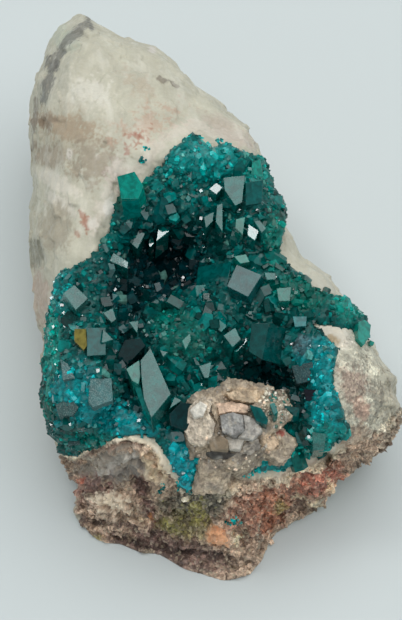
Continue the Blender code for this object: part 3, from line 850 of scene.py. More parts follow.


# The stains, veins and chips of the stone, and the painted shade under its knob and over its foot,
# from the far end down to the foot of the front wall.
STONE_MARKS: dict[str, Patch | Streak] = {
    "bright calcite": Patch((-18.0, 30.6), (5.2, 2.8), -20, (220, 216, 198), 0.6, 0.0, 0.9),
    "white calcite": Patch((-15.7, 31.3), (3.0, 1.7), 0, (228, 225, 211), 0.6, 0.0, 0.9),
    "beige ground": Patch((-18.6, 24.6), (6.4, 3.8), -16, (188, 180, 158), 0.7, 0.0, 0.7),
    "beige band": Patch((-19.6, 26.2), (4.6, 1.5), -14, (176, 156, 130), 0.75, 0.0, 0.8),
    "dark of the band": Patch((-22.0, 26.8), (1.2, 1.1), 0, (152, 134, 112)),
    "tan block": Patch((-21.6, 21.9), (2.7, 1.8), 0, (172, 160, 140)),
    "chip on the block": Patch((-18.7, 22.3), (0.5, 0.8), 0, (230, 224, 212), 0.9, 0.15),
    "chip in the middle": Patch((-14.7, 21.9), (0.4, 0.6), 0, (228, 222, 210), 0.9, 0.1),
    "brown glass": Patch((-14.4, 20.8), (3.6, 3.0), -20, (166, 154, 134), 0.7, 0.0, 0.9),
    "purple patch": Patch((-12.6, 19.4), (1.3, 1.9), 0, (156, 138, 128), 0.7, 0.0, 1.0),
    "tan stain": Patch((-8.6, 31.9), (2.6, 1.2), -35, (196, 180, 158), 0.5, 0.0, 1.0),
    "rusty grains": Patch((-7.6, 26.3), (3.4, 1.6), 22, (198, 168, 146), 0.6, 0.0, 1.5),
    "rust of the grains": Patch((-9.3, 24.6), (1.4, 0.8), 40, (176, 122, 96), 0.7, 0.0, 1.6),
    "white by the margin": Streak(
        (
            (-15.4, 11.2), (-13.8, 14.6), (-13.0, 18.4), (-12.6, 20.4), (-9.0, 19.8), (-7.0, 22.0),
            (-5.2, 24.6), (-1.0, 26.4), (3.4, 25.2), (7.0, 23.8),
        ),
        0.8, (222, 213, 198), 0.65, 0.05, 1.2,
    ),
    "upper cleavage": Patch((-20.6, 18.3), (3.8, 1.1), -31, (226, 220, 204)),
    "lower cleavage": Patch((-20.1, 15.3), (2.8, 0.9), -38, (224, 218, 203)),
    "smooth tan": Patch((-20.9, 11.8), (2.6, 3.4), 0, (178, 170, 150)),
    "dark streak": Streak(((-6.0, 33.4), (-3.4, 32.0)), 0.30, (122, 112, 100), 0.7),
    "pale flake": Patch((-7.0, 37.1), (0.6, 0.5), 0, (220, 214, 204)),
    "grey spot": Patch((-15.7, 40.4), (0.35, 0.9), 20, (118, 116, 110)),
    "green shoulder": Patch((-19.7, 38.9), (1.5, 2.2), 30, (196, 203, 184), 0.7),
    "grey vein": Streak(
        ((-16.2, 41.2), (-17.4, 40.0), (-19.8, 37.6), (-21.0, 35.2), (-21.8, 32.8), (-22.6, 30.2)),
        0.6, (116, 116, 110), 0.8, 0.0, 0.8,
    ),
    "dark shoulder": Patch((-21.4, 35.0), (0.9, 1.3), 30, (104, 102, 96), 0.7),
    "left line": Streak(((-23.6, 30.1), (-23.9, 26.9), (-24.0, 23.0)), 0.3, (120, 110, 98), 0.6),
    "rust by the crust": Streak(((-10.8, 23.7), (-10.5, 22.3)), 0.3, (170, 112, 90), 0.7, 0.0, 1.6),
    "rust above it": Streak(((-9.4, 25.3), (-8.2, 24.4)), 0.3, (170, 112, 90), 0.7, 0.0, 1.6),
    "pink edge": Patch((4.0, 25.6), (4.4, 1.2), -32, (196, 182, 168), 0.6),
    "rust on the left": Streak(
        ((-17.2, 14.1), (-16.6, 12.7), (-16.3, 11.2)), 0.4, (166, 112, 86), 0.85, 0.0, 1.4
    ),
    "rust below it": Patch((-17.6, 10.8), (0.6, 0.5), 0, (172, 124, 98), 0.7),
    "white by the crust": Patch((-13.1, 14.8), (1.0, 1.2), 0, (236, 231, 220), 0.9),
    "white below it": Patch((-15.3, 12.2), (0.9, 0.9), 0, (230, 224, 212), 0.8),
    "left flake": Patch((-23.6, 8.1), (1.1, 2.4), 0, (142, 141, 124), 0.8),
    "left rim": Patch((-22.9, 2.0), (1.2, 3.8), 4, (196, 176, 160), 0.8),
    "left rim low": Patch((-22.5, -6.4), (0.9, 3.8), 0, (168, 150, 132), 0.8),
    "right knob": Patch((17.4, 3.8), (3.0, 2.2), -32, (202, 200, 184), 0.7),
    "right white": Patch((19.4, -3.7), (3.1, 1.7), -10, (226, 219, 203), 0.85),
    "yellow spot": Patch((18.6, -4.3), (1.3, 0.8), -10, (168, 142, 98), 0.75),
    "right brown": Patch((21.8, -10.7), (2.0, 2.6), 10, (150, 124, 110), 0.75),
    "right pink": Patch((22.9, -14.1), (1.1, 1.8), 0, (192, 150, 130), 0.7),
    "right tan": Patch((26.7, -12.9), (1.8, 4.6), 0, (178, 172, 152), 0.8),
    "right brown low": Patch((21.8, -18.2), (2.6, 1.5), 38, (160, 134, 112), 0.8),
    "right dark edge": Streak(
        ((28.6, -10.8), (28.8, -14.6), (26.6, -18.8), (22.4, -22.2)), 0.30, (76, 66, 56), 0.8
    ),
    "cream rim right": Patch((11.4, -23.6), (2.8, 1.0), 8, (218, 204, 180), 0.9, 0.2),
    "cream rim far right": Patch((16.7, -20.6), (2.7, 1.3), 30, (208, 192, 172), 0.85, 0.2),
    "arch stone": Patch((-12.8, -22.4), (5.2, 2.5), 6, (122, 116, 106), 0.9),
    "arch bands": Patch((-6.6, -22.1), (1.3, 2.9), 32, (190, 172, 142), 0.85),
    "line under the rim": Streak(
        ((-20.0, -21.0), (-17.6, -21.6), (-14.6, -20.1), (-11.2, -19.2), (-8.6, -19.6)),
        0.22, (104, 84, 72), 0.75, -0.1,
    ),
    "arch scratches": Streak(
        ((-16.4, -24.6), (-13.4, -22.4), (-9.6, -20.6)), 0.5, (150, 146, 138), 0.7, 0.0, 1.4
    ),
    "dark of the arch": Streak(
        ((-15.4, -24.9), (-11.8, -23.6), (-8.6, -22.2)), 0.6, (88, 84, 80), 0.7, -0.1, 1.2
    ),
    "brown of the bands": Streak(
        ((-8.6, -20.1), (-6.6, -21.4), (-5.8, -24.0)), 0.30, (122, 96, 76), 0.7
    ),
    "cream rim": Streak(
        (
            (-20.1, -20.0), (-18.7, -21.1), (-17.4, -20.7), (-15.4, -19.3), (-12.9, -18.6),
            (-10.0, -18.3), (-7.4, -19.0), (-6.1, -20.0), (-5.6, -21.6), (-4.7, -22.7),
            (-4.1, -23.9), (-2.7, -25.1), (-1.6, -26.3),
        ),
        0.26, (218, 205, 180), 0.9, 0.15,
    ),
    "mauve knob": Patch((-15.8, -26.2), (3.4, 2.6), 0, (122, 92, 84), 0.8),
    "tan knob": Patch((-14.6, -28.2), (3.0, 2.0), 0, (160, 140, 122), 0.8),
    "cream knob": Patch((-12.8, -27.4), (2.5, 1.6), -10, (196, 182, 160), 0.85, 0.25, 0.8),
    "red spot": Patch((-17.0, -24.4), (0.7, 0.5), 0, (152, 86, 66), 0.8),
    "undershadow": Streak(
        ((-18.4, -29.6), (-15.4, -30.6), (-12.0, -30.9), (-9.4, -31.4)), 0.5, (74, 60, 54), 0.8,
        -0.7,
    ),
    "purple band": Streak(
        ((-9.0, -24.6), (-8.0, -26.8), (-7.2, -29.4), (-6.4, -32.2)), 0.85, (88, 64, 60), 0.85, -0.5
    ),
    "orange in the band": Patch((-7.1, -30.1), (0.5, 1.2), 0, (168, 106, 66), 0.8),
    "dark middle": Patch((-0.6, -27.4), (5.2, 2.6), 4, (78, 80, 70), 0.85, -0.2),
    "pale middle": Patch((3.0, -26.2), (1.2, 0.7), 20, (176, 168, 146), 0.8, 0.2),
    "cream chip": Patch((-2.3, -27.0), (0.5, 0.4), 0, (218, 208, 184), 0.9, 0.3),
    "olive ground": Patch((-2.4, -30.8), (4.4, 1.9), -12, (104, 98, 62), 0.75),
    "left moss": Patch((-4.4, -31.2), (2.4, 1.4), -20, (124, 120, 60), 0.65, 0.0, 1.3),
    "middle moss": Patch((-0.4, -29.0), (1.3, 1.6), 10, (128, 122, 64), 0.65, 0.0, 1.3),
    "orange pebble": Patch((2.3, -32.0), (1.5, 1.5), 0, (198, 142, 102), 0.9, 0.4),
    "green cream": Patch((5.6, -32.1), (1.4, 1.7), 0, (192, 190, 160), 0.85),
    "yellow foot": Patch((-15.1, -32.7), (1.1, 0.6), 0, (150, 140, 80), 0.7),
    "purple foot": Patch((-5.0, -34.6), (9.0, 2.6), -10, (104, 82, 76), 0.8),
    "shade over the foot": Streak(
        ((-12.4, -32.4), (-8.4, -33.4), (-4.4, -34.4), (0.4, -35.0), (4.8, -35.4)), 0.45,
        (66, 52, 48), 0.8, -0.5,
    ),
    "cream of the foot": Patch((-7.6, -34.6), (0.8, 0.5), 0, (186, 170, 146), 0.8, 0.2),
    "rust ground": Streak(
        ((5.6, -30.4), (9.4, -27.6), (13.4, -25.4), (18.2, -23.6)), 2.3, (142, 98, 80), 0.75
    ),
    "red ledge": Patch((17.0, -24.4), (3.0, 1.9), 32, (146, 92, 76), 0.85),
    "cream of the ledge": Streak(
        ((8.6, -25.4), (12.0, -24.2), (16.2, -22.4), (20.4, -20.0)), 0.5, (196, 182, 156), 0.75,
        0.1, 1.0,
    ),
    "dark of the ledge": Streak(
        ((6.0, -33.6), (9.6, -30.9), (12.6, -28.9), (15.4, -27.4)), 0.5, (92, 70, 62), 0.75, -0.4
    ),
    "cream block": Patch((18.4, -25.3), (0.7, 1.0), 0, (208, 184, 152), 0.85, 0.25),
    "red fibres": Patch((9.9, -28.3), (2.6, 3.2), -20, (150, 104, 82), 0.85),
    "olive in the fibres": Patch((11.3, -28.3), (0.9, 1.0), 0, (130, 122, 70), 0.7),
    "cream streak": Streak(((13.3, -26.9), (16.7, -27.9)), 0.45, (202, 187, 157), 0.8),
    "grains by the cluster": Patch((2.7, -23.2), (4.6, 2.2), 0, (176, 160, 136), 0.85),
    "brown by the cluster": Patch((4.4, -24.2), (1.3, 0.6), 10, (120, 98, 78), 0.7, 0.0, 1.0),
    "white by the tongue": Patch((-2.6, -23.6), (0.7, 0.5), 20, (222, 216, 202), 0.85, 0.2),
}


# Where the broken wall is worn smooth.
SMOOTH_AREAS: dict[str, Patch] = {
    "arch stone": area((-12.4, -22.2), (5.2, 2.6), 6),
    "arch bands": area((-6.9, -22.6), (1.6, 3.0), 32),
    "orange pebble": area((2.3, -32.0), (1.7, 1.6)),
    "cream knob": area((-12.8, -27.6), (2.6, 1.8)),
}

# Where the right rim is gritty above the wall.
GRITTY_RIM = area((23.0, -12.5), (4.5, 8.0), 10)


@dataclass
class MatrixStone:
    """The stone itself, with its cleaved calcite, its broken front wall and its stains."""

    view: FrontView
    box: tuple[Vector, Vector]
    voxel: float = 0.27
    most_faces: int = 190000
    grains: int = 2000
    grain_widths: Place = (0.22, 0.62)
    grain_depth: float = 0.14
    calcite_light: float = 0.74
    # How much the broken wall's colour is lifted: painted fill light.
    wall_painted_light: float = 1.40
    seed: int = 5
    finish: StoneFinish = StoneFinish("calcite_and_rock")

    def build(self, frame: Mapping[str, Any]) -> Piece:
        """Breaks and paints the stone.


        Returns:
            The finished piece.
        """
        stone = copied_node(frame, "matrix", "matrix_stone")
        remesh(stone, self.voxel, 8)
        self.thin(stone)
        points, normals = points_of(stone)
        places = self.view.places(points)
        wobble = 0.8 * noise_at(points, 1.6, 3.1, 3) + 0.9 * noise_at(points, 0.5, 4.7, 2)
        facing = self.view.facing(points, normals)
        front = smooth_step(-0.12, 0.10, facing)
        shown = smooth_step(-0.75, 0.10, facing + 0.2 * noise_at(points, 6.0, 1.9))
        brow = np.interp(places[:, 0], *zip(*WALL_BROW))
        wall = smooth_step(-0.4, 0.9, brow - places[:, 1] + wobble * 0.4) * front
        colours, rise = paint(
            self.base_colours(points, wall, shown), STONE_MARKS, places, wobble, front
        )
        # The wall's colour is lifted above the calcite's: painted fill light on the wall, which
        # faces down and to the front.
        light = self.calcite_light + (self.wall_painted_light - self.calcite_light) * wall
        colours *= light[:, None]
        covered = smooth_step(0.2, 1.6, depth_inside(places, CRUST_EDGE)) * front
        relief = self.relief(points, wall, shown) * (1 - covered) + rise - 0.5 * covered
        settled = smooth_step(0.0, 1.2 * MM, points[:, 2])
        moved = points + normals * (relief * settled * MM)[:, None]
        move_points(stone, keep_in_box(moved, self.box))
        stone.data.shade_smooth()
        store_colour(stone, "tint", colours)
        rim = GRITTY_RIM.share(places, wobble) * front
        smooth = np.max([patch.share(places, wobble) for patch in SMOOTH_AREAS.values()], axis=0)
        low = smooth_step(24 * MM, 8 * MM, points[:, 2] + 4 * MM * wobble)
        grit = np.clip(wall + 0.7 * rim + 0.6 * (1 - shown) * low, 0, 1)
        grit *= 1 - 0.8 * smooth * front
        store_value(stone, "grit", grit)
        material = self.finish.material()
        for piece in (stone, self.make_rubble(stone, colours, wall, grit)):
            settle(piece, "matrix", material)
        return stone

    def thin(self, stone: Piece) -> None:
        """Coarsens the mesh where it is turned away from the view or lies under the crust."""
        points, normals = points_of(stone)
        hidden = smooth_step(0.0, -0.3, self.view.facing(points, normals))
        depth = depth_inside(self.view.places(points), CRUST_EDGE)
        hidden = np.maximum(hidden, smooth_step(1.5, 2.5, depth))
        group = stone.vertex_groups.new(name="hidden")
        for weight in (0.1, 0.5, 1.0):
            chosen = np.flatnonzero(hidden >= weight)
            group.add(chosen.tolist(), weight, "REPLACE")
        ratio = self.most_faces / (2 * len(stone.data.polygons))
        add_modifier(stone, "DECIMATE", ratio=ratio, vertex_group="hidden", vertex_group_factor=10)
        stone.vertex_groups.clear()

    def make_rubble(self, stone: Piece, colours: Array, wall: Array, grit: Array) -> Piece:
        """Strews grains over the broken wall.

        Args:
            stone: the finished stone.
            colours: its colour at each vertex, in linear light.
            wall: how much of the broken wall is at each vertex, from 0 to 1.
            grit: how gritty it is there, from 0 to 1.

        Returns:
            All the grains as one piece.
        """
        draw = np.random.default_rng(self.seed)
        points, normals = points_of(stone)
        depth = depth_inside(self.view.places(points), CRUST_EDGE)
        weight = wall * grit * (depth < 0) * (points[:, 2] > 0.8 * MM)
        chosen = draw.choice(len(points), self.grains, p=weight / weight.sum())
        widths = draw.uniform(*self.grain_widths, self.grains) * MM
        tints = colours[chosen] * draw.uniform(0.7, 1.35, (self.grains, 1))
        seats = points[chosen] - normals[chosen] * self.grain_depth * MM
        grains = make_grains("matrix_grains", seats, widths, tints, 0.6, draw)
        move_points(grains, keep_in_box(points_of(grains)[0], self.box))
        return grains

    @staticmethod
    def base_colours(points: Array, wall: Array, shown: Array) -> Array:
        """The stone's colour before its marks.

        Args:
            points: its vertices.
            wall: how much of the broken wall is at each, from 0 to 1.
            shown: how much each faces the front view, from 0 to 1.

        Returns:
            One linear colour for each vertex.
        """
        calcite, rock = linear((205, 202, 182)), linear((152, 131, 112))
        cloud = np.clip(0.5 + 0.6 * noise_at(points, 5.0, 9.4), 0, 1)[:, None]
        blotches = np.clip(0.5 + 0.8 * noise_at(points, 8.0, 5.2), 0, 1)[:, None]
        seen = calcite * (0.86 + 0.2 * cloud) * (1 - wall[:, None])
        seen += rock * (0.8 + 0.4 * cloud) * wall[:, None]
        # Out of the front view the stone turns darker and browner towards the bottom, in blotches.
        low = smooth_step(22 * MM, 4 * MM, points[:, 2])[:, None]
        hidden = linear((198, 188, 168)) * (1 - low) + linear((158, 136, 114)) * low
        hidden += (linear((126, 104, 88)) - hidden) * 0.7 * blotches * low
        hidden += (linear((176, 160, 138)) - hidden) * 0.6 * cloud
        return seen * shown[:, None] + hidden * (1 - shown[:, None])

    @staticmethod
    def relief(points: Array, wall: Array, shown: Array) -> Array:
        """How far the broken surface stands out.

        Args:
            points: the stone's vertices.
            wall: how much of the broken wall is at each, from 0 to 1.
            shown: how much each faces the front view, from 0 to 1.

        Returns:
            One height for each vertex, in mm.
        """
        lumps, pits = noise_at(points, 3.4, 1.7, 4), noise_at(points, 1.1, 6.3, 3)
        broken, cleaved = facets_at(points, 1.5, 4.4), facets_at(points, 3.2, 8.8)
        small = facets_at(points, 0.8, 2.6)
        rough = 0.90 * lumps + 0.90 * broken + 0.30 * small + 0.30 * pits - 0.25
        calm = 0.14 * lumps + 0.34 * cleaved + 0.06 * pits - 0.05
        hidden = 0.45 * lumps + 0.40 * cleaved + 0.22 * broken + 0.15 * pits - 0.1
        seen = rough * wall + calm * (1 - wall)
        return seen * shown + hidden * (1 - shown)


# The greens of the crust: bright where it is fine, deep between the large crystals. The dark greens
# in and round the vug, in its gullies and in the pocket are painted shade.
CRUST_TONES: dict[str, Patch] = {
    "top brow": Patch((0.9, 21.4), (5.6, 3.4), 0, (0, 148, 144), 0.9),
    "top right": Patch((8.0, 19.8), (2.8, 3.0), 0, (0, 128, 118), 0.8),
    "below the brow": Patch((-1.0, 15.6), (4.4, 2.8), 0, (0, 108, 104), 0.8),
    "left block": Patch((-10.5, 17.2), (2.6, 3.2), 0, (0, 98, 80), 0.8),
    "upper left margin": Patch((-13.0, 10.2), (1.7, 4.4), 25, (0, 138, 128), 0.8),
    "left margin": Patch((-20.1, 2.9), (1.9, 4.2), 0, (0, 142, 140), 0.85),
    "left rim": Patch((-21.2, -5.0), (1.5, 5.0), 0, (0, 148, 134), 0.85),
    "left rim low": Patch((-21.4, -12.0), (1.3, 3.6), 0, (0, 92, 76), 0.8),
    "left cyan": Patch((-18.0, -11.2), (3.8, 3.6), 0, (0, 142, 146), 0.85),
    "lower left band": Patch((-12.8, -15.6), (7.0, 2.6), -18, (0, 144, 150), 0.85),
    "left foot": Patch((-16.2, -18.6), (4.2, 1.7), 0, (0, 126, 116), 0.8),
    "cyan tongue": Patch((-2.6, -22.4), (2.2, 3.8), 0, (0, 150, 160), 0.9),
    # Painted shade: dark greens in and round the vug and in its gullies.
    "round the vug": Patch((-6.6, 7.0), (8.6, 7.4), 28, (0, 76, 76), 0.85),
    "vug": Patch((-5.4, 5.9), (6.2, 5.2), 28, (2, 42, 48), 0.95),
    "vug low": Patch((-9.6, 2.2), (4.0, 3.0), 0, (2, 48, 52), 0.9),
    "gully top": Patch((-10.4, -2.8), (2.8, 3.0), 0, (2, 58, 60), 0.85),
    "left gully": Patch((-9.4, -8.6), (2.6, 5.4), 20, (2, 54, 58), 0.85),
    "hump": Patch((-2.8, -3.4), (5.2, 3.4), -48, (0, 106, 94), 0.85),
    "low centre": Patch((-0.2, -10.6), (4.0, 3.2), 0, (0, 100, 96), 0.8),
    # Painted shade: dark greens in the pocket.
    "pocket": Patch((9.2, -9.6), (5.2, 2.8), -8, (4, 62, 66), 0.95),
    "pocket right": Patch((12.7, -13.4), (3.0, 2.6), 0, (4, 50, 52), 0.85),
    "right bank": Patch((17.9, -12.6), (2.7, 7.0), 0, (0, 148, 152), 0.9),
    "right bank top": Patch((16.4, -6.2), (3.2, 2.6), 0, (0, 140, 144), 0.85),
    "mauve of the bank": Patch((14.2, -4.8), (1.8, 1.4), 0, (84, 104, 112), 0.7),
    "lower right": Patch((14.2, -20.0), (6.2, 2.6), 25, (0, 146, 136), 0.85),
    "low edge": Patch((10.4, -22.2), (3.4, 1.4), 0, (0, 150, 150), 0.85),
    "saddle": Patch((14.0, 2.1), (4.2, 2.4), -15, (0, 104, 90), 0.8),
    "right wall": Patch((10.6, 9.8), (1.9, 5.0), 0, (0, 122, 108), 0.8),
    "right end": Patch((20.8, 0.8), (2.4, 2.6), 0, (0, 138, 124), 0.85),
}
BASE_GREEN: Colour = (0, 90, 86)
STRAY_GREEN: Colour = (0, 140, 138)
PALE_GREEN: Colour = (110, 160, 146)

# Where the crust is fine all over, with no crystals of middle size.
FINE_AREAS: dict[str, Patch] = {
    name: CRUST_TONES[name]
    for name in (
        "top brow", "left cyan", "lower left band", "cyan tongue", "right bank",
        "right bank top", "low edge", "hump", "left foot",
    )
}


class Tone:
    """The greens of the large crystals."""

    CLEAR: Colour = (0, 108, 102)
    BRIGHT: Colour = (0, 132, 118)
    DEEP: Colour = (0, 82, 80)
    BLACK: Colour = (0, 44, 46)
    TEAL: Colour = (0, 158, 150)
    GREY: Colour = (30, 112, 114)
    YELLOW: Colour = (118, 110, 52)


@dataclass(frozen=True)
class FaceCrystal:
    """A crystal known by the outline of the face that it turns to the front view.

    The outline is in mm. The tilt turns the face right and up, in degrees, away from the way
    in which it would mirror its lamp, or away from the eye where its gleam is dim.
    """

    outline: tuple[Place, ...]
    gleam: Gleam = Gleam.SHEEN
    tilt: Place = (0.0, 0.0)
    lean: Lean = (0.05, 0.42, 0.90)
    stand: float = 1.7
    tone: Colour = Tone.CLEAR
    etch: float = 0.0

    def normal(self, view: FrontView, point: Vector, ground: Vector) -> Vector:
        """Which way the face looks at a point where the ground faces some way."""
        to_eye = (view.eye - point).normalized()
        looks = (to_eye + ground.normalized()).normalized()
        if self.gleam.value:
            to_lamp = (self.gleam.value.place(view) - point).normalized()
            looks = (to_eye + to_lamp).normalized()
        right, up = (math.radians(angle) for angle in self.tilt)
        looks = Matrix.Rotation(right, 3, view.up) @ looks
        return Matrix.Rotation(-up, 3, view.right) @ looks

    def shortfall(
        self, view: FrontView, tree: BVHTree, top: Vector, looks: Vector, skin: float
    ) -> float:
        """How much further out the face must be for the ground to stay below it.

        Args:
            view: the front view.
            tree: the surface that the crystal grows on.
            top: the middle of the face.
            looks: which way the face looks.
            skin: how far the crust stands off that surface, in mm.

        Returns:
            The distance in metres, at most 2 mm.
        """
        most = 0.0
        for place in self.outline:
            ground = tree.ray_cast(view.eye, view.sight(place))[0]
            if ground is not None:
                above = (ground + view.out * (skin - 0.2) * MM - top).dot(looks)
                most = max(most, above / view.out.dot(looks))
        return min(most, 2 * MM)

    def model(self, view: FrontView, tree: BVHTree, skin: float, root: float) -> Piece | None:
        """Models the crystal where it grows.

        Args:
            view: the front view.
            tree: the surface that it grows on.
            skin: how far the crust stands off that surface, in mm.
            root: how deep the crystal is rooted below that surface, in mm.

        Returns:
            The crystal as a piece, or None where the view finds no surface.
        """
        middle = tuple(float(value) for value in np.mean(self.outline, axis=0))
        seat, ground, _, _ = tree.ray_cast(view.eye, view.sight(middle))
        if seat is None:
            return None
        top = seat + view.out * (skin + self.stand) * MM
        looks, axis = self.normal(view, top, ground), view.direction(self.lean)
        raised = self.shortfall(view, tree, top, looks, skin)
        top += view.out * raised
        deselect_all()
        bpy.ops.mesh.primitive_circle_add(
            vertices=len(self.outline), radius=MM, fill_type="NGON"
        )
        crystal = bpy.context.object
        for vertex, place in zip(crystal.data.vertices, self.outline):
            sight = view.sight(place)
            reach = (top - view.eye).dot(looks) / sight.dot(looks)
            vertex.co = view.eye + sight * reach
        inward = axis * -((skin + self.stand + root) * MM + raised) / axis.dot(view.out)
        bpy.ops.object.mode_set(mode="EDIT")
        bpy.ops.mesh.select_all(action="SELECT")
        bpy.ops.mesh.extrude_region_move(TRANSFORM_OT_translate={"value": inward})
        bpy.ops.mesh.select_all(action="SELECT")
        bpy.ops.mesh.normals_make_consistent(inside=False)
        bpy.ops.mesh.bevel(offset=0.05 * MM, segments=1, affect="EDGES")
        bpy.ops.object.mode_set(mode="OBJECT")
        return crystal


def sheen(outline: tuple[Place, ...], **facts: Any) -> FaceCrystal:
    """A crystal whose face mirrors the broad lamp."""
    return FaceCrystal(outline, Gleam.SHEEN, **facts)


def glint(outline: tuple[Place, ...], **facts: Any) -> FaceCrystal:
    """A crystal whose face mirrors the small bright lamp."""
    return FaceCrystal(outline, Gleam.GLINT, **facts)


def dim(outline: tuple[Place, ...], **facts: Any) -> FaceCrystal:
    """A crystal whose face mirrors no lamp, low in the crust where nothing else is said."""
    low = {"stand": 1.0, "lean": (0.0, 0.25, 0.97)}
    return FaceCrystal(outline, Gleam.DIM, **{**low, **facts})


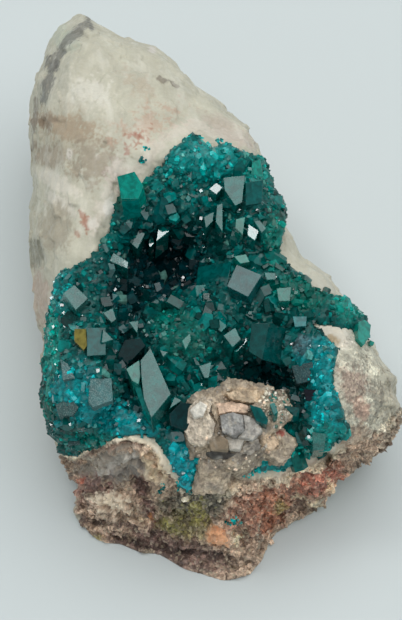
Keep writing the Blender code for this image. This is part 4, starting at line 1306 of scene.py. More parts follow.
# The large crystals one by one, from the far end of the crust to its near edge.
LARGE_CRYSTALS: dict[str, FaceCrystal] = {
    "upper shield": sheen(
        ((3.2, 18.9), (4.4, 19.1), (6.3, 19.2), (5.9, 15.4), (4.9, 14.9), (3.4, 17.1)),
        tilt=(1, 1), stand=2.2,
    ),
    "bright rhomb": glint(((1.1, 17.3), (2.2, 18.2), (3.1, 17.5), (2.2, 16.5)), stand=1.8),
    "shield tail": sheen(((2.3, 15.0), (3.1, 15.3), (3.1, 11.1), (2.1, 12.6)), tilt=(6, 2)),
    "tail left": sheen(((0.4, 13.3), (1.9, 14.1), (1.7, 12.7), (0.7, 11.7)), tilt=(-5, 4)),
    "shield neighbour": dim(
        ((6.4, 18.2), (8.9, 18.6), (8.7, 15.3), (6.4, 15.0)), tilt=(18, 8), tone=Tone.DEEP,
        stand=1.4,
    ),
    "upper point": dim(
        ((7.3, 21.1), (8.5, 21.6), (8.9, 19.1), (7.1, 18.9)), tilt=(10, 2), tone=Tone.BRIGHT,
        stand=1.4, lean=(0.1, 0.7, 0.6),
    ),
    "right square": dim(
        ((9.6, 16.4), (11.7, 16.4), (11.6, 13.8), (9.9, 13.7)), tilt=(16, 10), tone=Tone.CLEAR,
        stand=1.5, lean=(0.2, 0.5, 0.7),
    ),
    "right rhomb": glint(((6.8, 12.3), (8.3, 11.3), (7.7, 9.9), (6.6, 10.7)), stand=1.6),
    "right grey face": sheen(
        ((7.6, 12.7), (8.4, 12.8), (9.3, 11.7), (8.7, 11.0)), tilt=(8, 0), stand=1.9
    ),
    "right dull face": sheen(
        ((5.0, 13.0), (6.3, 13.3), (6.0, 10.7), (4.9, 11.7)), tilt=(11, -6), tone=Tone.BRIGHT
    ),
    "green block": dim(
        ((-12.0, 19.1), (-9.5, 19.8), (-8.2, 17.7), (-9.0, 15.9), (-11.4, 15.9)),
        tilt=(-8, -4), stand=2.0, tone=Tone.BRIGHT, lean=(-0.1, 0.55, 0.83),
    ),
    "block foot": dim(
        ((-11.4, 15.6), (-8.9, 15.8), (-8.6, 13.4), (-10.9, 12.9)), tilt=(-4, -26),
        stand=0.9, tone=Tone.CLEAR,
    ),
    "face over the vug": sheen(
        ((-10.6, 10.9), (-9.3, 11.6), (-7.9, 11.1), (-8.4, 10.0), (-9.1, 8.7), (-10.4, 9.9)),
        tilt=(-10, -4), stand=1.4,
    ),
    "bright spike": glint(((-6.0, 12.4), (-4.5, 11.3), (-6.4, 9.8)), stand=1.2),
    "spike twin": glint(
        ((-7.2, 11.1), (-6.6, 9.6), (-7.3, 8.9), (-7.5, 9.6)), tilt=(2, -2), stand=0.8
    ),
    "bright bar": glint(
        ((-12.5, 8.2), (-10.4, 6.9), (-10.5, 5.9), (-13.1, 7.0)), tilt=(-3, 2), stand=1.5
    ),
    "teal face": dim(
        ((-4.7, 14.0), (-3.6, 14.2), (-3.0, 13.3), (-3.6, 12.6), (-4.6, 13.0)),
        tone=Tone.TEAL, tilt=(6, 14), stand=1.0,
    ),
    "striped face": sheen(
        ((-18.1, 3.6), (-16.1, 1.7), (-17.9, 0.0), (-19.7, 2.4)), tilt=(-2, 2), stand=1.8,
        etch=0.18,
    ),
    "saddle chip": sheen(((9.0, 5.4), (10.6, 5.3), (10.7, 4.4), (9.4, 4.3)), tilt=(4, 4)),
    "block behind": dim(
        ((-0.4, 6.2), (4.4, 6.9), (3.6, 3.0), (-0.8, 3.0)), tilt=(-16, 12), stand=1.4,
        tone=Tone.DEEP, lean=(-0.2, 0.5, 0.8),
    ),
    "middle block": sheen(
        ((3.7, 3.4), (5.1, 6.5), (8.7, 5.0), (6.7, 1.9)), tilt=(15, -10), stand=3.4,
        lean=(-0.20, 0.45, 0.84), tone=(10, 92, 92),
    ),
    "top of the block": sheen(
        ((4.7, 7.7), (6.4, 8.0), (7.0, 6.9), (5.6, 6.6)), tilt=(10, 12), tone=Tone.BRIGHT, stand=2.2
    ),
    "left dull face": dim(
        ((-21.7, -0.9), (-19.5, -1.3), (-19.3, -1.8), (-19.9, -2.5), (-21.5, -2.1)),
        tilt=(-14, 8), tone=Tone.BRIGHT, stand=0.8, etch=0.3,
    ),
    "small pentagon": sheen(
        ((-14.0, -0.4), (-12.6, 0.3), (-12.1, -1.3), (-12.8, -1.8)), tilt=(-8, 2), stand=2.2
    ),
    "gully wedge": sheen(((-10.3, -1.7), (-8.9, -1.5), (-9.1, -3.4)), tilt=(6, -6), stand=2.6),
    "yellow face": dim(
        ((-18.1, -2.7), (-16.4, -2.7), (-16.3, -5.1), (-16.8, -5.7), (-18.1, -4.4)),
        tilt=(-12, 10), tone=Tone.YELLOW, stand=1.4,
    ),
    "left dark block": dim(
        ((-16.3, -2.5), (-13.6, -2.5), (-13.6, -6.4), (-16.3, -6.6)), tilt=(10, -12),
        tone=Tone.DEEP, stand=1.6,
    ),
    "grey triangle": sheen(
        ((-14.0, -2.7), (-12.5, -4.2), (-14.2, -4.7)), tilt=(9, -5), stand=3.4
    ),
    "mottled shard": dim(
        ((-20.1, -7.0), (-19.0, -7.7), (-18.0, -9.7), (-19.7, -10.0)), tilt=(-8, 18),
        tone=Tone.GREY, stand=0.4, etch=1.0,
    ),
    "etched square": dim(
        ((-15.8, -9.8), (-12.8, -9.7), (-12.6, -12.9), (-15.4, -13.9), (-16.1, -13.1)),
        tilt=(4, 16), tone=Tone.GREY, stand=0.7, etch=0.8,
    ),
    "etched pentagon": dim(
        ((-20.8, -13.5), (-18.5, -12.6), (-17.5, -13.9), (-18.3, -15.1), (-20.3, -15.1)),
        tilt=(-6, 12), tone=(20, 76, 74), stand=0.4, etch=0.5,
    ),
    "small square": dim(
        ((-19.2, -17.5), (-17.2, -17.4), (-17.3, -19.1), (-19.0, -19.3)), tilt=(-4, 10),
        tone=(24, 80, 80), stand=0.3, etch=0.35,
    ),
    "left column": dim(
        ((-22.0, -9.6), (-21.0, -9.2), (-20.6, -12.6), (-21.6, -13.6), (-22.3, -12.4)),
        tilt=(-16, -6), tone=Tone.BRIGHT, stand=0.8, lean=(-0.1, 0.7, 0.6), etch=0.15,
    ),
    "prism behind": dim(
        ((-12.5, -7.7), (-10.9, -4.3), (-8.6, -4.0), (-7.9, -5.1), (-10.7, -8.0)),
        tilt=(-6, -20), tone=Tone.BLACK, stand=2.0, lean=(0.1, 0.5, 0.8),
    ),
    "long prism": sheen(
        ((-7.2, -5.4), (-4.3, -12.0), (-7.1, -15.4), (-8.2, -12.6), (-8.5, -10.0), (-8.65, -7.2)),
        tilt=(0, 1), stand=5.2, lean=(-0.05, 0.58, 0.80), etch=0.10,
    ),
    "prism shard": sheen(
        ((-8.8, -7.1), (-10.7, -8.4), (-9.9, -10.1), (-8.9, -10.6), (-8.65, -9.4)),
        tilt=(-5, 5), stand=4.8, lean=(-0.05, 0.58, 0.80), tone=Tone.BRIGHT, etch=0.12,
    ),
    "prism flank": dim(
        ((-9.8, -10.3), (-8.7, -10.4), (-8.2, -12.5), (-7.2, -15.1), (-8.4, -13.9)),
        tilt=(-24, 0), stand=3.6, lean=(-0.05, 0.62, 0.78), tone=Tone.CLEAR,
    ),
    "prism foot": sheen(((-3.8, -12.4), (-2.7, -12.9), (-4.5, -14.1)), tilt=(4, -2), stand=2.6),
    "dark block": dim(
        ((-4.5, -14.9), (-2.9, -13.2), (-1.2, -13.4), (-0.7, -14.9), (-2.2, -17.2), (-4.3, -16.5)),
        tilt=(8, -8), tone=Tone.BLACK, stand=2.4,
    ),
    "hump face": sheen(
        ((-2.7, -4.4), (-1.6, -3.3), (-1.4, -4.2), (-2.2, -5.7)), tilt=(5, -5), tone=Tone.BRIGHT
    ),
    "hump chip": sheen(((-5.9, -5.7), (-4.7, -6.0), (-5.4, -6.7)), tilt=(-4, 2), stand=1.6),
    "square face": sheen(
        ((-0.3, -8.0), (1.5, -7.4), (1.1, -9.7), (0.5, -9.7)), tilt=(-1, -2), stand=2.6
    ),
    "bright edge": sheen(((3.2, -3.6), (4.9, -2.5), (5.7, -4.2), (4.5, -5.3)), stand=3.2),
    "edge strip": glint(
        ((6.4, -3.8), (6.6, -4.4), (5.1, -6.0), (4.7, -5.8), (6.1, -4.9)), stand=2.8
    ),
    "upright prism": sheen(
        ((7.2, -1.9), (9.7, -1.9), (8.7, -7.1), (6.8, -5.9)), tilt=(-15, -14), stand=3.6,
        lean=(-0.50, 0.15, 0.82), tone=Tone.DEEP,
    ),
    "bank cube": dim(
        ((13.1, -0.9), (15.1, -0.9), (15.0, -2.3), (13.4, -2.4)), tilt=(8, 12), tone=Tone.GREY
    ),
    "saddle face": sheen(
        ((10.8, 3.1), (12.9, 3.3), (12.7, 1.3), (11.1, 1.3)), tilt=(9, -6), tone=Tone.BRIGHT
    ),
    "rim crystal": dim(
        ((22.5, -1.7), (23.4, -1.4), (24.3, -2.1), (24.1, -3.8), (23.2, -5.1), (22.4, -4.0)),
        tilt=(14, -8), tone=Tone.BRIGHT, stand=1.6, lean=(0.3, 0.3, 0.9),
    ),
    "rim chip": dim(
        ((24.2, -4.3), (24.8, -4.6), (24.6, -5.1), (24.1, -5.0)), tone=Tone.BRIGHT, stand=0.6,
        lean=(0.3, 0.2, 0.9),
    ),
    "rim column": dim(
        ((20.4, 2.3), (21.3, 1.7), (22.4, -1.3), (21.3, -2.0), (20.0, 0.6)), tilt=(10, 12),
        tone=Tone.TEAL, stand=1.0, lean=(-0.1, 0.6, 0.8), etch=0.2,
    ),
    "bank face": dim(
        ((12.9, -8.0), (15.9, -7.4), (16.3, -10.0), (13.7, -10.6)), tilt=(-4, 14),
        tone=(36, 78, 82), stand=1.2, etch=0.4,
    ),
    "black rhomb": dim(
        ((14.7, -11.3), (16.6, -11.4), (16.4, -13.1), (15.0, -13.0)), tilt=(6, -14),
        tone=(22, 24, 34), stand=0.8,
    ),
    "sparkling face": glint(
        ((13.1, -11.3), (14.4, -11.6), (14.3, -12.4), (13.3, -12.0)), stand=1.8, etch=0.5
    ),
    "lower dark face": dim(
        ((11.9, -13.6), (14.1, -14.0), (13.9, -16.3), (12.1, -15.7)), tilt=(-10, -12),
        tone=Tone.DEEP, stand=0.6,
    ),
    "lower green face": dim(
        ((13.4, -17.4), (15.3, -17.3), (15.1, -19.3), (13.7, -19.0)), tilt=(8, -10),
        tone=Tone.DEEP, stand=0.5,
    ),
    "lower pale face": dim(
        ((15.9, -17.4), (17.9, -17.7), (17.6, -19.9), (16.0, -20.1)), tilt=(8, 12),
        tone=(26, 108, 100), stand=0.5, etch=0.25,
    ),
}


def grown(
    view: FrontView, tree: BVHTree, plans: Mapping[str, FaceCrystal], skin: float, root: float
) -> Iterator[tuple[FaceCrystal, Piece]]:
    """Models crystals from their plans, one after another.

    Args:
        view: the front view.
        tree: the surface that they grow on.
        plans: the crystals by name.
        skin: how far the crust stands off that surface, in mm.
        root: how deep each is rooted below that surface, in mm.

    Returns:
        The plan and the piece of each crystal that has a seat.
    """
    for name, plan in plans.items():
        crystal = plan.model(view, tree, skin, root)
        if crystal is None:
            LOG.warning("%s has no seat", name)
        else:
            yield plan, crystal


@dataclass
class HabitCrystal:
    """Dioptase's habit: six prism sides under three slanting end faces, modelled once."""

    slant: float = math.radians(51)
    length: float = 3.4
    unevenness: tuple[Lean, ...] = (
        (0.0, 0.0, 0.0), (0.0, 0.22, 0.10), (0.25, 0.0, 0.30), (0.0, 0.35, 0.35),
    )

    def models(self) -> list[tuple[Array, list[tuple[int, ...]]]]:
        """Models one crystal for each way in which its end faces are uneven.

        Returns:
            The points and faces of each, for a radius of 1 and with the tip at the origin.
        """
        return [self.model(uneven) for uneven in self.unevenness]

    def model(self, uneven: Lean) -> tuple[Array, list[tuple[int, ...]]]:
        """Models one crystal with uneven end faces.

        Args:
            uneven: how far each end face is set down, as a share of the radius.

        Returns:
            Its points and its faces.
        """
        deselect_all()
        bpy.ops.mesh.primitive_cylinder_add(
            vertices=6, radius=1, depth=self.length, end_fill_type="NGON",
            location=(0, 0, -self.length / 2), rotation=(0, 0, math.radians(30)),
        )
        crystal = bpy.context.object
        bpy.ops.object.transform_apply()
        bpy.ops.object.mode_set(mode="EDIT")
        for side, drop in enumerate(uneven):
            azimuth = math.radians(120 * side)
            slope = math.sin(self.slant)
            bpy.ops.mesh.select_all(action="SELECT")
            bpy.ops.mesh.bisect(
                plane_co=(0, 0, -drop),
                plane_no=(
                    math.cos(azimuth) * slope, math.sin(azimuth) * slope, math.cos(self.slant)
                ),
                use_fill=True, clear_outer=True,
            )
        bpy.ops.mesh.select_all(action="SELECT")
        bpy.ops.mesh.normals_make_consistent(inside=False)
        bpy.ops.object.mode_set(mode="OBJECT")
        points = points_of(crystal)[0]
        faces = [tuple(face.vertices) for face in crystal.data.polygons]
        bpy.data.objects.remove(crystal)
        return points, faces


@dataclass(frozen=True)
class Growth:
    """One size of crystal that grows all over the crust, and how it is scattered."""

    name: str
    count: int
    radius: Place
    stand: Place
    stray: float
    coarse: float
    pale: float
    gleaming: bool = False


GROWTHS = (
    Growth("dioptase_grains", 5600, (0.13, 0.34), (0.5, 1.5), 0.75, 0.0, 0.05),
    Growth("dioptase_small_crystals", 2000, (0.32, 0.62), (0.5, 1.3), 0.65, 0.35, 0.05),
    Growth("dioptase_middle_crystals", 430, (0.65, 1.25), (0.6, 1.4), 0.60, 1.0, 0.02),
    Growth("dioptase_sparkles", 720, (0.12, 0.44), (0.9, 1.7), 0.90, 0.8, 0.10, True),
)

STRAYS = Growth("dioptase_strays", 240, (0.14, 0.32), (0.4, 1.0), 0.6, 0.0, 0.1)

# Where single crystals have strayed onto the stone, with how thick they stand in each.
STRAY_AREAS: dict[str, Patch] = {
    "above the left block": area((-7.7, 23.0), (0.5, 0.4)),
    "beside it": area((-8.4, 21.4), (0.5, 0.4)),
    "by the brow": area((2.6, 24.2), (0.6, 0.3), 0, 1.5),
    "below the tongue": area((-2.4, -25.6), (1.2, 0.5), -20, 1.6),
    "right of the cluster": area((6.8, -23.2), (1.4, 0.6), 20, 1.2),
    "on the wall": area((4.6, -30.2), (1.6, 0.5), 0, 0.7),
    "left of the wall": area((-5.6, -25.6), (0.5, 0.8), 0, 0.5),
}


@dataclass
class DioptaseCrust:
    """The crust of dioptase: a bed, the crystals of each size on it, and the large ones."""

    view: FrontView
    box: tuple[Vector, Vector]
    voxel: float = 0.36
    root: float = 0.6
    bed_thickness: float = 1.0
    bed_light: float = 0.62
    fine_share: float = 0.96
    small_lamp_share: float = 0.25
    seed: int = 11
    fine_finish: DioptaseFinish = DioptaseFinish("fine_dioptase", 0.0, 0.24, 0.5, 0.10, 0.12)
    clear_finish: DioptaseFinish = DioptaseFinish("clear_dioptase", 0.45, 0.05, 1.4, 0.03, 0.36)
    deep_finish: DioptaseFinish = DioptaseFinish("deep_dioptase", 0.25, 0.07, 0.9, 0.06, 0.16)

    def __post_init__(self) -> None:
        """Wires up the finishes and starts the random numbers."""
        self.draw = np.random.default_rng(self.seed)
        self.fine, self.clear = self.fine_finish.material(), self.clear_finish.material()
        self.deep = self.deep_finish.material()
        self.models = HabitCrystal().models()

    def build(self, frame: Mapping[str, Any], stone: Piece) -> None:
        """Grows the whole crust.

        Args:
            stone: the finished stone, on which some crystals have strayed.
        """
        bed = self.make_bed(frame)
        self.finish(bed, self.fine)
        for growth in GROWTHS:
            seats, normals = self.seats(bed, growth)
            crystals = self.grow(growth, seats, normals, self.tones(seats))
            self.finish(crystals, self.material_of(growth))
        rock = copied_node(frame, "matrix", "rock_under_the_crust")
        tree = tree_of(rock)
        bpy.data.objects.remove(rock)
        deep = {name: plan for name, plan in LARGE_CRYSTALS.items() if plan.gleam is Gleam.DIM}
        bright = {name: plan for name, plan in LARGE_CRYSTALS.items() if name not in deep}
        self.finish(self.make_large(tree, bright, "dioptase_large_crystals"), self.clear)
        self.finish(self.make_large(tree, deep, "dioptase_deep_crystals"), self.deep)
        self.finish(self.make_strays(stone), self.fine)

    def material_of(self, growth: Growth) -> bpy.types.Material:
        """The finish of one size of crystal: clear where it gleams, deep unless it is fine."""
        if growth.gleaming:
            return self.clear
        return self.deep if growth.coarse else self.fine

    def make_strays(self, stone: Piece) -> Piece:
        """Grows single small crystals on the bare stone.

        Args:
            stone: the finished stone.

        Returns:
            All of them as one piece.
        """
        points, normals = points_of(stone)
        places = self.view.places(points)
        still, weight = np.zeros(len(points)), np.zeros(len(points))
        for patch in STRAY_AREAS.values():
            weight += patch.strength * patch.share(places, still)
        weight *= self.view.facing(points, normals) > 0.1
        chosen = self.draw.choice(len(points), STRAYS.count, p=weight / weight.sum())
        tones = np.tile(linear(STRAY_GREEN), (STRAYS.count, 1))
        return self.grow(STRAYS, points[chosen], normals[chosen], tones)

    def finish(self, piece: Piece, material: bpy.types.Material) -> None:
        """Keeps a piece of the crust in the model's box and settles it."""
        move_points(piece, keep_in_box(points_of(piece)[0], self.box))
        settle(piece, "dioptase_crust", material)

    def tones(self, points: Array) -> Array:
        """The crust's green at each point, in linear light."""
        wobble = noise_at(points, 1.4, 7.7, 4)
        base = np.tile(linear(BASE_GREEN), (len(points), 1))
        whole = np.ones(len(points))
        return paint(base, CRUST_TONES, self.view.places(points), wobble, whole)[0]

    def make_bed(self, frame: Mapping[str, Any]) -> Piece:
        """The bed that the crystals stand in: a rough skin over the stone.


        Returns:
            The bed, as one closed shell.
        """
        bed = copied_node(frame, "matrix", "dioptase_bed")
        remesh(bed, self.voxel, 4)
        points, normals = points_of(bed)
        places = self.view.places(points)
        depth = depth_inside(places, CRUST_EDGE) + 0.5 * noise_at(points, 1.2, 2.9, 3)
        kept = (depth > 0) & (self.view.facing(points, normals) > -0.02)
        self.keep_faces(bed, kept)
        deepest = np.argmax(depth_inside(self.view.places(points_of(bed)[0]), CRUST_EDGE))
        self.keep_joined(bed, int(deepest))
        points, normals = points_of(bed)
        depth = depth_inside(self.view.places(points), CRUST_EDGE)
        lumps = 0.40 * noise_at(points, 2.4, 5.5, 3) + 0.45 * facets_at(points, 0.9, 3.3)
        rise = -0.2 + (1.35 + lumps) * smooth_step(-0.2, 1.1, depth)
        move_points(bed, points + normals * (rise * MM)[:, None])
        add_modifier(bed, "SOLIDIFY", thickness=self.bed_thickness * MM, offset=-1)
        points = points_of(bed)[0]
        speckle = 1 + 0.5 * noise_at(points, 0.5, 8.1, 3)
        ground = self.tones(points) * self.bed_light
        store_colour(bed, "tone", ground * np.clip(speckle, 0.3, 2)[:, None])
        store_value(bed, "etch", np.full(len(points), 0.03))
        return bed

    @staticmethod
    def keep_faces(piece: Piece, kept: Array) -> None:
        """Deletes the faces that have a vertex which isn't kept."""
        lost = [not all(kept[list(face.vertices)]) for face in piece.data.polygons]
        select_nothing_in(piece, "FACE")
        piece.data.polygons.foreach_set("select", lost)
        bpy.ops.object.mode_set(mode="EDIT")
        bpy.ops.mesh.delete(type="FACE")
        bpy.ops.object.mode_set(mode="OBJECT")

    @staticmethod
    def keep_joined(piece: Piece, vertex: int) -> None:
        """Deletes the islands that no edge joins to a vertex."""
        select_nothing_in(piece, "VERT")
        piece.data.vertices[vertex].select = True
        bpy.ops.object.mode_set(mode="EDIT")
        bpy.ops.mesh.select_linked()
        bpy.ops.mesh.select_all(action="INVERT")
        bpy.ops.mesh.delete(type="VERT")
        bpy.ops.object.mode_set(mode="OBJECT")

    def seats(self, bed: Piece, growth: Growth) -> tuple[Array, Array]:
        """Places for one size of crystal.

        Args:
            bed: the bed that they grow on.
            growth: the size and how it is scattered.

        Returns:
            The seats on the bed, and which way the bed faces at each.
        """
        mesh = bed.data
        centres = np.array([face.center for face in mesh.polygons])
        normals = np.array([face.normal for face in mesh.polygons])
        areas = np.array([face.area for face in mesh.polygons])
        places = self.view.places(centres)
        facing = self.view.facing(centres, normals)
        depth = depth_inside(places, CRUST_EDGE)
        still = np.zeros(len(places))
        fine = np.max([patch.share(places, still) for patch in FINE_AREAS.values()], axis=0)
        coarse = smooth_step(0.8, 3.0, depth) * (1 - self.fine_share * fine)
        coarse *= smooth_step(0.0, 0.2, facing)
        weight = areas * (1 - growth.coarse + growth.coarse * coarse) * (facing > -0.3)
        weight = weight * smooth_step(-0.3, 0.4, depth)
        if growth.coarse:
            for crystal in LARGE_CRYSTALS.values():
                weight = weight * ~inside(places, crystal.outline)
        chosen = self.draw.choice(len(places), growth.count, p=weight / weight.sum())
        jitter = self.draw.uniform(-0.5, 0.5, (growth.count, 3)) * self.voxel * MM
        return centres[chosen] + jitter, normals[chosen]

    def grow(self, growth: Growth, seats: Array, normals: Array, tones: Array) -> Piece:
        """Copies crystals to their seats.

        Args:
            growth: the size of the crystals.
            seats: where each grows.
            normals: which way the ground faces there.
            tones: the green of each, in linear light.

        Returns:
            All of them as one piece.
        """
        draw, count = self.draw, len(seats)
        radii = draw.uniform(*growth.radius, count) * MM
        stands = draw.uniform(*growth.stand, count) * radii
        axes, sides = self.directions(growth, seats, normals)
        others = np.cross(axes, sides)
        shade = 0.35 + 1.5 * draw.uniform(size=count) ** 1.5
        pale = draw.uniform(size=count) < growth.pale
        tones = tones * shade[:, None]
        tones[pale] = tones[pale] * 0.5 + linear(PALE_GREEN) * 0.5
        kinds = draw.integers(0, len(self.models), count)
        points, faces, colours = [], [], []
        total = 0
        for kind, (shape, shape_faces) in enumerate(self.models):
            for index in np.flatnonzero(kinds == kind):
                local = shape * radii[index]
                turned = (
                    local[:, :1] * sides[index] + local[:, 1:2] * others[index]
                    + local[:, 2:] * axes[index]
                )
                points.append(turned + seats[index] + axes[index] * stands[index])
                faces.extend(tuple(total + corner for corner in face) for face in shape_faces)
                colours.append(np.tile(tones[index], (len(shape), 1)))
                total += len(shape)
        piece = new_piece(growth.name, np.concatenate(points), faces)
        store_colour(piece, "tone", np.concatenate(colours))
        store_value(piece, "etch", np.zeros(total))
        return piece

    def directions(self, growth: Growth, seats: Array, normals: Array) -> tuple[Array, Array]:
        """Which way crystals stand and are turned.

        Args:
            growth: how they are scattered.
            seats: where each grows.
            normals: which way the ground faces there.

        Returns:
            The axis of each crystal and one side of it, both 1 long.
        """
        axes = unit(normals + self.draw.uniform(-growth.stray, growth.stray, normals.shape))
        if not growth.gleaming:
            return axes, unit(np.cross(axes, self.draw.normal(size=normals.shape)))
        mirrors = self.mirrors(seats)
        across = unit(axes - mirrors * np.einsum("ij,ij->i", axes, mirrors)[:, None])
        slant = HabitCrystal.slant
        axes = mirrors * math.cos(slant) + across * math.sin(slant)
        return axes, mirrors * math.sin(slant) - across * math.cos(slant)

    def mirrors(self, seats: Array) -> Array:
        """For each seat, a way to look in which a face about mirrors one of the lamps."""
        small = self.draw.uniform(size=len(seats)) < self.small_lamp_share
        lamps = np.where(
            small[:, None], SMALL_LAMP.place(self.view), BROAD_LAMP.place(self.view)
        )
        halves = unit(unit(np.array(self.view.eye) - seats) + unit(lamps - seats))
        spread = np.where(small, 0.03, 0.20)[:, None]
        return unit(halves + spread * self.draw.normal(size=seats.shape))

    def make_large(
        self, tree: BVHTree, plans: Mapping[str, FaceCrystal], piece_name: str
    ) -> Piece:
        """Models some large crystals and joins them.

        Args:
            tree: the surface that they grow on.
            plans: the crystals by name.
            piece_name: what the whole is called.

        Returns:
            All of them as one piece.
        """
        crystals = []
        for plan, crystal in grown(self.view, tree, plans, CRUST_SKIN, self.root):
            count = len(crystal.data.vertices)
            store_colour(crystal, "tone", np.tile(linear(plan.tone), (count, 1)))
            store_value(crystal, "etch", np.full(count, plan.etch))
            crystals.append(crystal)
        return joined(crystals, piece_name)


def joined(pieces: Sequence[Piece], name: str) -> Piece:
    """Joins pieces into one.

    Args:
        pieces: what is joined.
        name: the name of the whole.

    Returns:
        The joined piece, at the origin.
    """
    deselect_all()
    for piece in pieces:
        piece.select_set(True)
    whole = pieces[0]
    bpy.context.view_layer.objects.active = whole
    bpy.ops.object.join()
    bpy.ops.object.transform_apply()
    whole.name = whole.data.name = name
    return whole


# The cluster's own stains.
CLUSTER_MARKS: dict[str, Patch | Streak] = {
    "tan block": Patch((0.4, -15.8), (2.6, 3.2), 0, (188, 172, 150)),
    "white spot": Patch((1.4, -13.9), (0.5, 0.5), 0, (226, 220, 206), 0.9, 0.1),
    "pink band": Patch((4.5, -14.0), (2.4, 0.7), 0, (206, 172, 148)),
    "grey middle": Patch((5.0, -16.6), (2.6, 1.8), 0, (132, 129, 124)),
    "back ledge": Patch((6.2, -12.0), (2.8, 1.2), 0, (182, 158, 128)),
    "red spot": Patch((11.3, -17.6), (0.6, 0.5), 0, (150, 62, 50), 0.85),
    "peach foot": Patch((9.8, -19.0), (1.5, 1.2), 0, (214, 186, 152)),
    "dark grain": Patch((6.0, -20.0), (1.6, 1.2), 0, (120, 112, 102), 0.8),
}

# The cleaved faces of the grey calcite.
CLUSTER_FACES: dict[str, FaceCrystal] = {
    "left block": dim(
        (
            (-1.9, -14.2), (-0.9, -13.0), (0.3, -12.4), (1.5, -13.0), (1.1, -14.7), (2.0, -16.3),
            (1.6, -18.1), (0.2, -19.4), (-1.5, -18.9), (-2.4, -17.2),
        ),
        tilt=(-10, 10), stand=0.35, tone=(206, 192, 172), etch=0.7,
    ),
    "side of the block": dim(
        (
            (1.6, -13.2), (2.4, -13.6), (2.7, -15.0), (2.9, -17.4), (1.9, -18.9), (1.9, -17.2),
            (2.3, -16.2), (1.5, -14.6),
        ),
        tilt=(14, 0), stand=0.5, tone=(170, 154, 132), etch=0.7,
    ),
    "white corner": dim(
        ((-1.6, -14.2), (-0.2, -13.0), (0.9, -13.6), (0.3, -15.2), (-1.0, -15.4)),
        tilt=(-18, 16), stand=0.6, tone=(234, 228, 214), etch=0.3,
    ),
    "pink band": dim(
        ((2.2, -13.4), (4.4, -13.0), (6.8, -13.6), (6.6, -14.8), (4.2, -14.5), (2.6, -14.9)),
        tilt=(2, 20), stand=0.6, tone=(204, 176, 152), etch=0.7,
    ),
    "grey facet": dim(
        ((2.7, -15.0), (4.4, -14.6), (5.9, -15.0), (6.2, -17.0), (4.9, -18.0), (3.1, -17.5)),
        tilt=(-3, 6), stand=1.0, tone=(150, 149, 145), etch=0.6,
    ),
    "grey facet right": dim(
        ((6.0, -14.9), (7.9, -15.6), (8.8, -17.2), (7.4, -18.5), (5.2, -18.1), (6.3, -17.0)),
        tilt=(14, 2), stand=0.9, tone=(172, 168, 160), etch=0.6,
    ),
    "light facet": sheen(
        ((3.3, -17.8), (4.9, -18.3), (6.2, -18.4), (5.6, -19.9), (4.1, -19.9)), tilt=(-3, -8),
        stand=0.8, tone=(184, 178, 166), lean=(0, 0.25, 0.97), etch=0.3,
    ),
    "tan facet": dim(
        ((1.0, -18.6), (2.9, -17.9), (3.9, -18.6), (3.9, -19.9), (1.4, -20.1)), tilt=(-4, -22),
        stand=0.7, tone=(134, 118, 96), etch=0.1,
    ),
    "dark lens": dim(
        ((0.6, -20.3), (2.4, -19.9), (3.9, -20.1), (5.2, -20.6), (3.7, -21.3), (1.7, -21.2)),
        tilt=(4, -30), stand=0.8, tone=(50, 45, 40), etch=0.1,
    ),
    "foot facet": dim(
        ((6.2, -18.9), (8.2, -18.3), (8.6, -19.6), (7.2, -20.6), (5.8, -20.4)), tilt=(8, -6),
        stand=0.5, tone=(150, 143, 132), etch=0.8,
    ),
    "back ledge": dim(
        ((3.4, -11.9), (5.6, -11.3), (8.2, -11.4), (9.4, -12.9), (7.2, -13.3), (4.6, -12.8)),
        tilt=(4, 18), stand=0.4, tone=(186, 164, 136), etch=0.8,
    ),
    "peach facet": dim(
        ((8.9, -18.3), (10.6, -17.9), (11.2, -19.0), (10.3, -20.0), (9.0, -19.8)), tilt=(10, 8),
        stand=0.4, tone=(210, 184, 154), etch=0.7,
    ),
}

# The dioptase that grows on the cluster.
LEAVES: dict[str, FaceCrystal] = {
    "leaf": dim(
        ((6.9, -13.5), (8.6, -14.0), (9.6, -15.6), (9.4, -16.4), (7.9, -15.9)), tilt=(12, -8),
        tone=Tone.DEEP, stand=1.2, lean=(0, 0.3, 0.95),
    ),
    "splinter": dim(
        ((9.8, -13.4), (10.5, -13.2), (11.0, -14.6), (10.4, -15.0)), tilt=(-6, 10),
        tone=Tone.CLEAR, stand=0.8, lean=(0, 0.4, 0.9),
    ),
}


@dataclass(frozen=True)
class Rubble:
    """Angular grains strewn over some part of a surface."""

    name: str
    count: int
    size: Place
    area: Patch
    colours: tuple[Colour, ...]


CLUSTER_RUBBLE = (
    Rubble(
        "cluster_grains", 260, (0.16, 0.42), area((4.8, -17.2), (6.2, 5.4)),
        ((196, 186, 166), (160, 154, 144), (206, 182, 158), (134, 126, 116)),
    ),
    Rubble(
        "back_grains", 160, (0.18, 0.42), area((10.6, -13.8), (2.0, 2.8)),
        ((196, 188, 168), (170, 160, 140), (222, 216, 200), (40, 110, 100)),
    ),
)


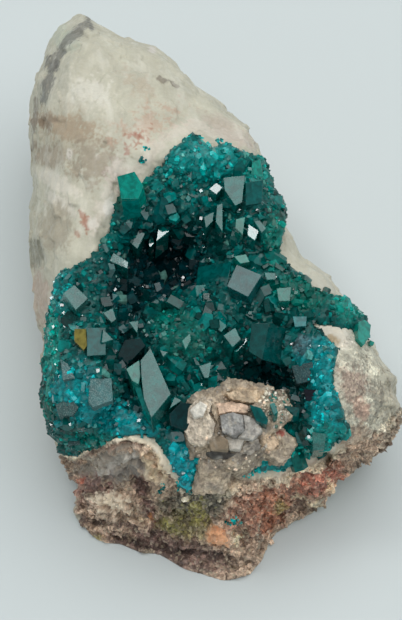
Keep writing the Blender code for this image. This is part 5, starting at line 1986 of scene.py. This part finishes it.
@dataclass
class CalciteCluster:
    """The cluster of grey calcite: a rough core, its cleaved faces and the grains on it."""

    view: FrontView
    box: tuple[Vector, Vector]
    voxel: float = 0.20
    face_voxel: float = 0.13
    face_root: float = 1.0
    rubble_reach: float = 1.1
    rubble_grit: float = 0.5
    light: float = 0.84
    seed: int = 23
    core_finish: StoneFinish = StoneFinish("granular_calcite", 0.35, 0.8, 0.05)

    def build(self, frame: Mapping[str, Any]) -> BVHTree:
        """Builds the cluster.


        Returns:
            The core's surface, which some dioptase grows on.
        """
        self.draw = np.random.default_rng(self.seed)
        finish = self.core_finish.material()
        core = self.make_core(frame)
        tree = tree_of(core)
        faces = self.make_faces(tree)
        grains = joined([self.strew(tree, rubble) for rubble in CLUSTER_RUBBLE], "calcite_grains")
        for piece in (core, faces, grains):
            settle(piece, "calcite_crystals", finish)
        return tree

    def make_core(self, frame: Mapping[str, Any]) -> Piece:
        """The rough core, painted.


        Returns:
            The core.
        """
        core = copied_node(frame, "calcite_crystals", "calcite_core")
        remesh(core, self.voxel, 3)
        points, normals = points_of(core)
        places = self.view.places(points)
        wobble = noise_at(points, 0.9, 2.2, 4)
        front = smooth_step(-0.12, 0.10, self.view.facing(points, normals))
        cloud = np.clip(0.5 + 0.7 * noise_at(points, 1.6, 6.1), 0, 1)[:, None]
        base = linear((176, 160, 136)) * (1 - cloud) + linear((138, 128, 114)) * cloud
        colours, rise = paint(base, CLUSTER_MARKS, places, wobble, front)
        relief = 0.22 * facets_at(points, 0.8, 7.2) + 0.12 * noise_at(points, 0.6, 3.8) + rise
        move_points(core, keep_in_box(points + normals * (relief * MM)[:, None], self.box))
        store_colour(core, "tint", colours * self.light)
        store_value(core, "grit", np.full(len(points), 0.55))
        return core

    def make_faces(self, tree: BVHTree) -> Piece:
        """The cleaved faces, each on a block of its own.

        Args:
            tree: the core's surface.

        Returns:
            All of them as one piece.
        """
        blocks = []
        for plan, block in grown(self.view, tree, CLUSTER_FACES, 0, self.face_root):
            remesh(block, self.face_voxel, 1)
            points, normals = points_of(block)
            chips = 0.13 * facets_at(points, 0.9, 5.1) + 0.07 * noise_at(points, 0.5, 2.6)
            relief = chips * (0.25 + plan.etch)
            move_points(block, points + normals * (relief * MM)[:, None])
            stain = np.clip(1 + 0.35 * noise_at(points, 0.9, 9.9, 4), 0.4, 1.6)[:, None]
            store_colour(block, "tint", linear(plan.tone) * self.light * stain)
            store_value(block, "grit", np.full(len(points), plan.etch * 0.7))
            blocks.append(block)
        return joined(blocks, "calcite_faces")

    def strew(self, tree: BVHTree, rubble: Rubble) -> Piece:
        """Strews angular grains over part of the cluster, each half sunk in it.

        Args:
            tree: the surface that they lie on.
            rubble: the grains and where they lie.

        Returns:
            All of them as one piece.
        """
        draw, patch, seats = self.draw, rubble.area, []
        while len(seats) < rubble.count:
            reach, angle = math.sqrt(draw.uniform()) * self.rubble_reach, draw.uniform(0, math.tau)
            place = (
                patch.place[0] + patch.half[0] * reach * math.cos(angle),
                patch.place[1] + patch.half[1] * reach * math.sin(angle),
            )
            seat = tree.ray_cast(self.view.eye, self.view.sight(place))[0]
            seats.append(seat if seat else seats[-1])
        sizes = draw.uniform(*rubble.size, rubble.count) * MM
        palette = np.array([linear(colour) for colour in rubble.colours])
        tints = palette[draw.integers(0, len(palette), rubble.count)]
        tints = tints * draw.uniform(0.8, 1.2, (rubble.count, 1))
        return make_grains(rubble.name, np.array(seats), sizes, tints, self.rubble_grit, draw)


@dataclass
class Studio:
    """A plain pale floor under soft light."""

    view: FrontView
    floor_side: float = 3.0
    floor_colour: Colour = (0.54, 0.588, 0.588)
    sky_top: float = 0.30
    sky_low: float = 1.15

    def build(self) -> None:
        """Lays the floor and sets the lights."""
        deselect_all()
        bpy.ops.mesh.primitive_plane_add(size=self.floor_side, location=(0, 0, -0.02 * MM))
        floor = bpy.context.object
        floor.name = "floor"
        board = NodeBoard("pale_floor")
        board.surface.inputs["Base Color"].default_value = (*self.floor_colour, 1)
        board.surface.inputs["Roughness"].default_value = 0.9
        board.surface.inputs["Specular IOR Level"].default_value = 0.1
        floor.data.materials.append(board.material)
        floor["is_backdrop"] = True
        for lamp in (BROAD_LAMP, SMALL_LAMP):
            lamp.add(self.view)
        self.add_sky()
        bpy.context.scene.view_settings.view_transform = "Standard"
        LOG.info("studio: floor and two lamps")

    def add_sky(self) -> None:
        """Fills the room with light that comes from its walls more than from overhead."""
        world = bpy.data.worlds.new("soft_room")
        world.use_nodes = True
        nodes, links = world.node_tree.nodes, world.node_tree.links
        place = nodes.new("ShaderNodeTexCoord")
        parts = nodes.new("ShaderNodeSeparateXYZ")
        links.new(place.outputs["Generated"], parts.inputs["Vector"])
        rise = nodes.new("ShaderNodeMapRange")
        rise.interpolation_type = "SMOOTHSTEP"
        links.new(parts.outputs["Z"], rise.inputs["Value"])
        rise.inputs["From Min"].default_value = 0.10
        rise.inputs["From Max"].default_value = 0.60
        rise.inputs["To Min"].default_value = self.sky_low
        rise.inputs["To Max"].default_value = self.sky_top
        background = nodes["Background"]
        background.inputs["Color"].default_value = (0.94, 0.98, 1.0, 1)
        links.new(rise.outputs["Result"], background.inputs["Strength"])
        bpy.context.scene.world = world


def main() -> None:
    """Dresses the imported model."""
    logging.basicConfig(level=logging.INFO, format="%(name)s: %(message)s")
    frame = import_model()
    cad_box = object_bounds()
    view = FrontView()
    view.add_camera()
    Studio(view).build()
    stone = MatrixStone(view, cad_box).build(frame)
    crust = DioptaseCrust(view, cad_box)
    crust.build(frame, stone)
    cluster_surface = CalciteCluster(view, cad_box).build(frame)
    crust.finish(crust.make_large(cluster_surface, LEAVES, "dioptase_leaves"), crust.deep)


if __name__ == "__main__":
    main()
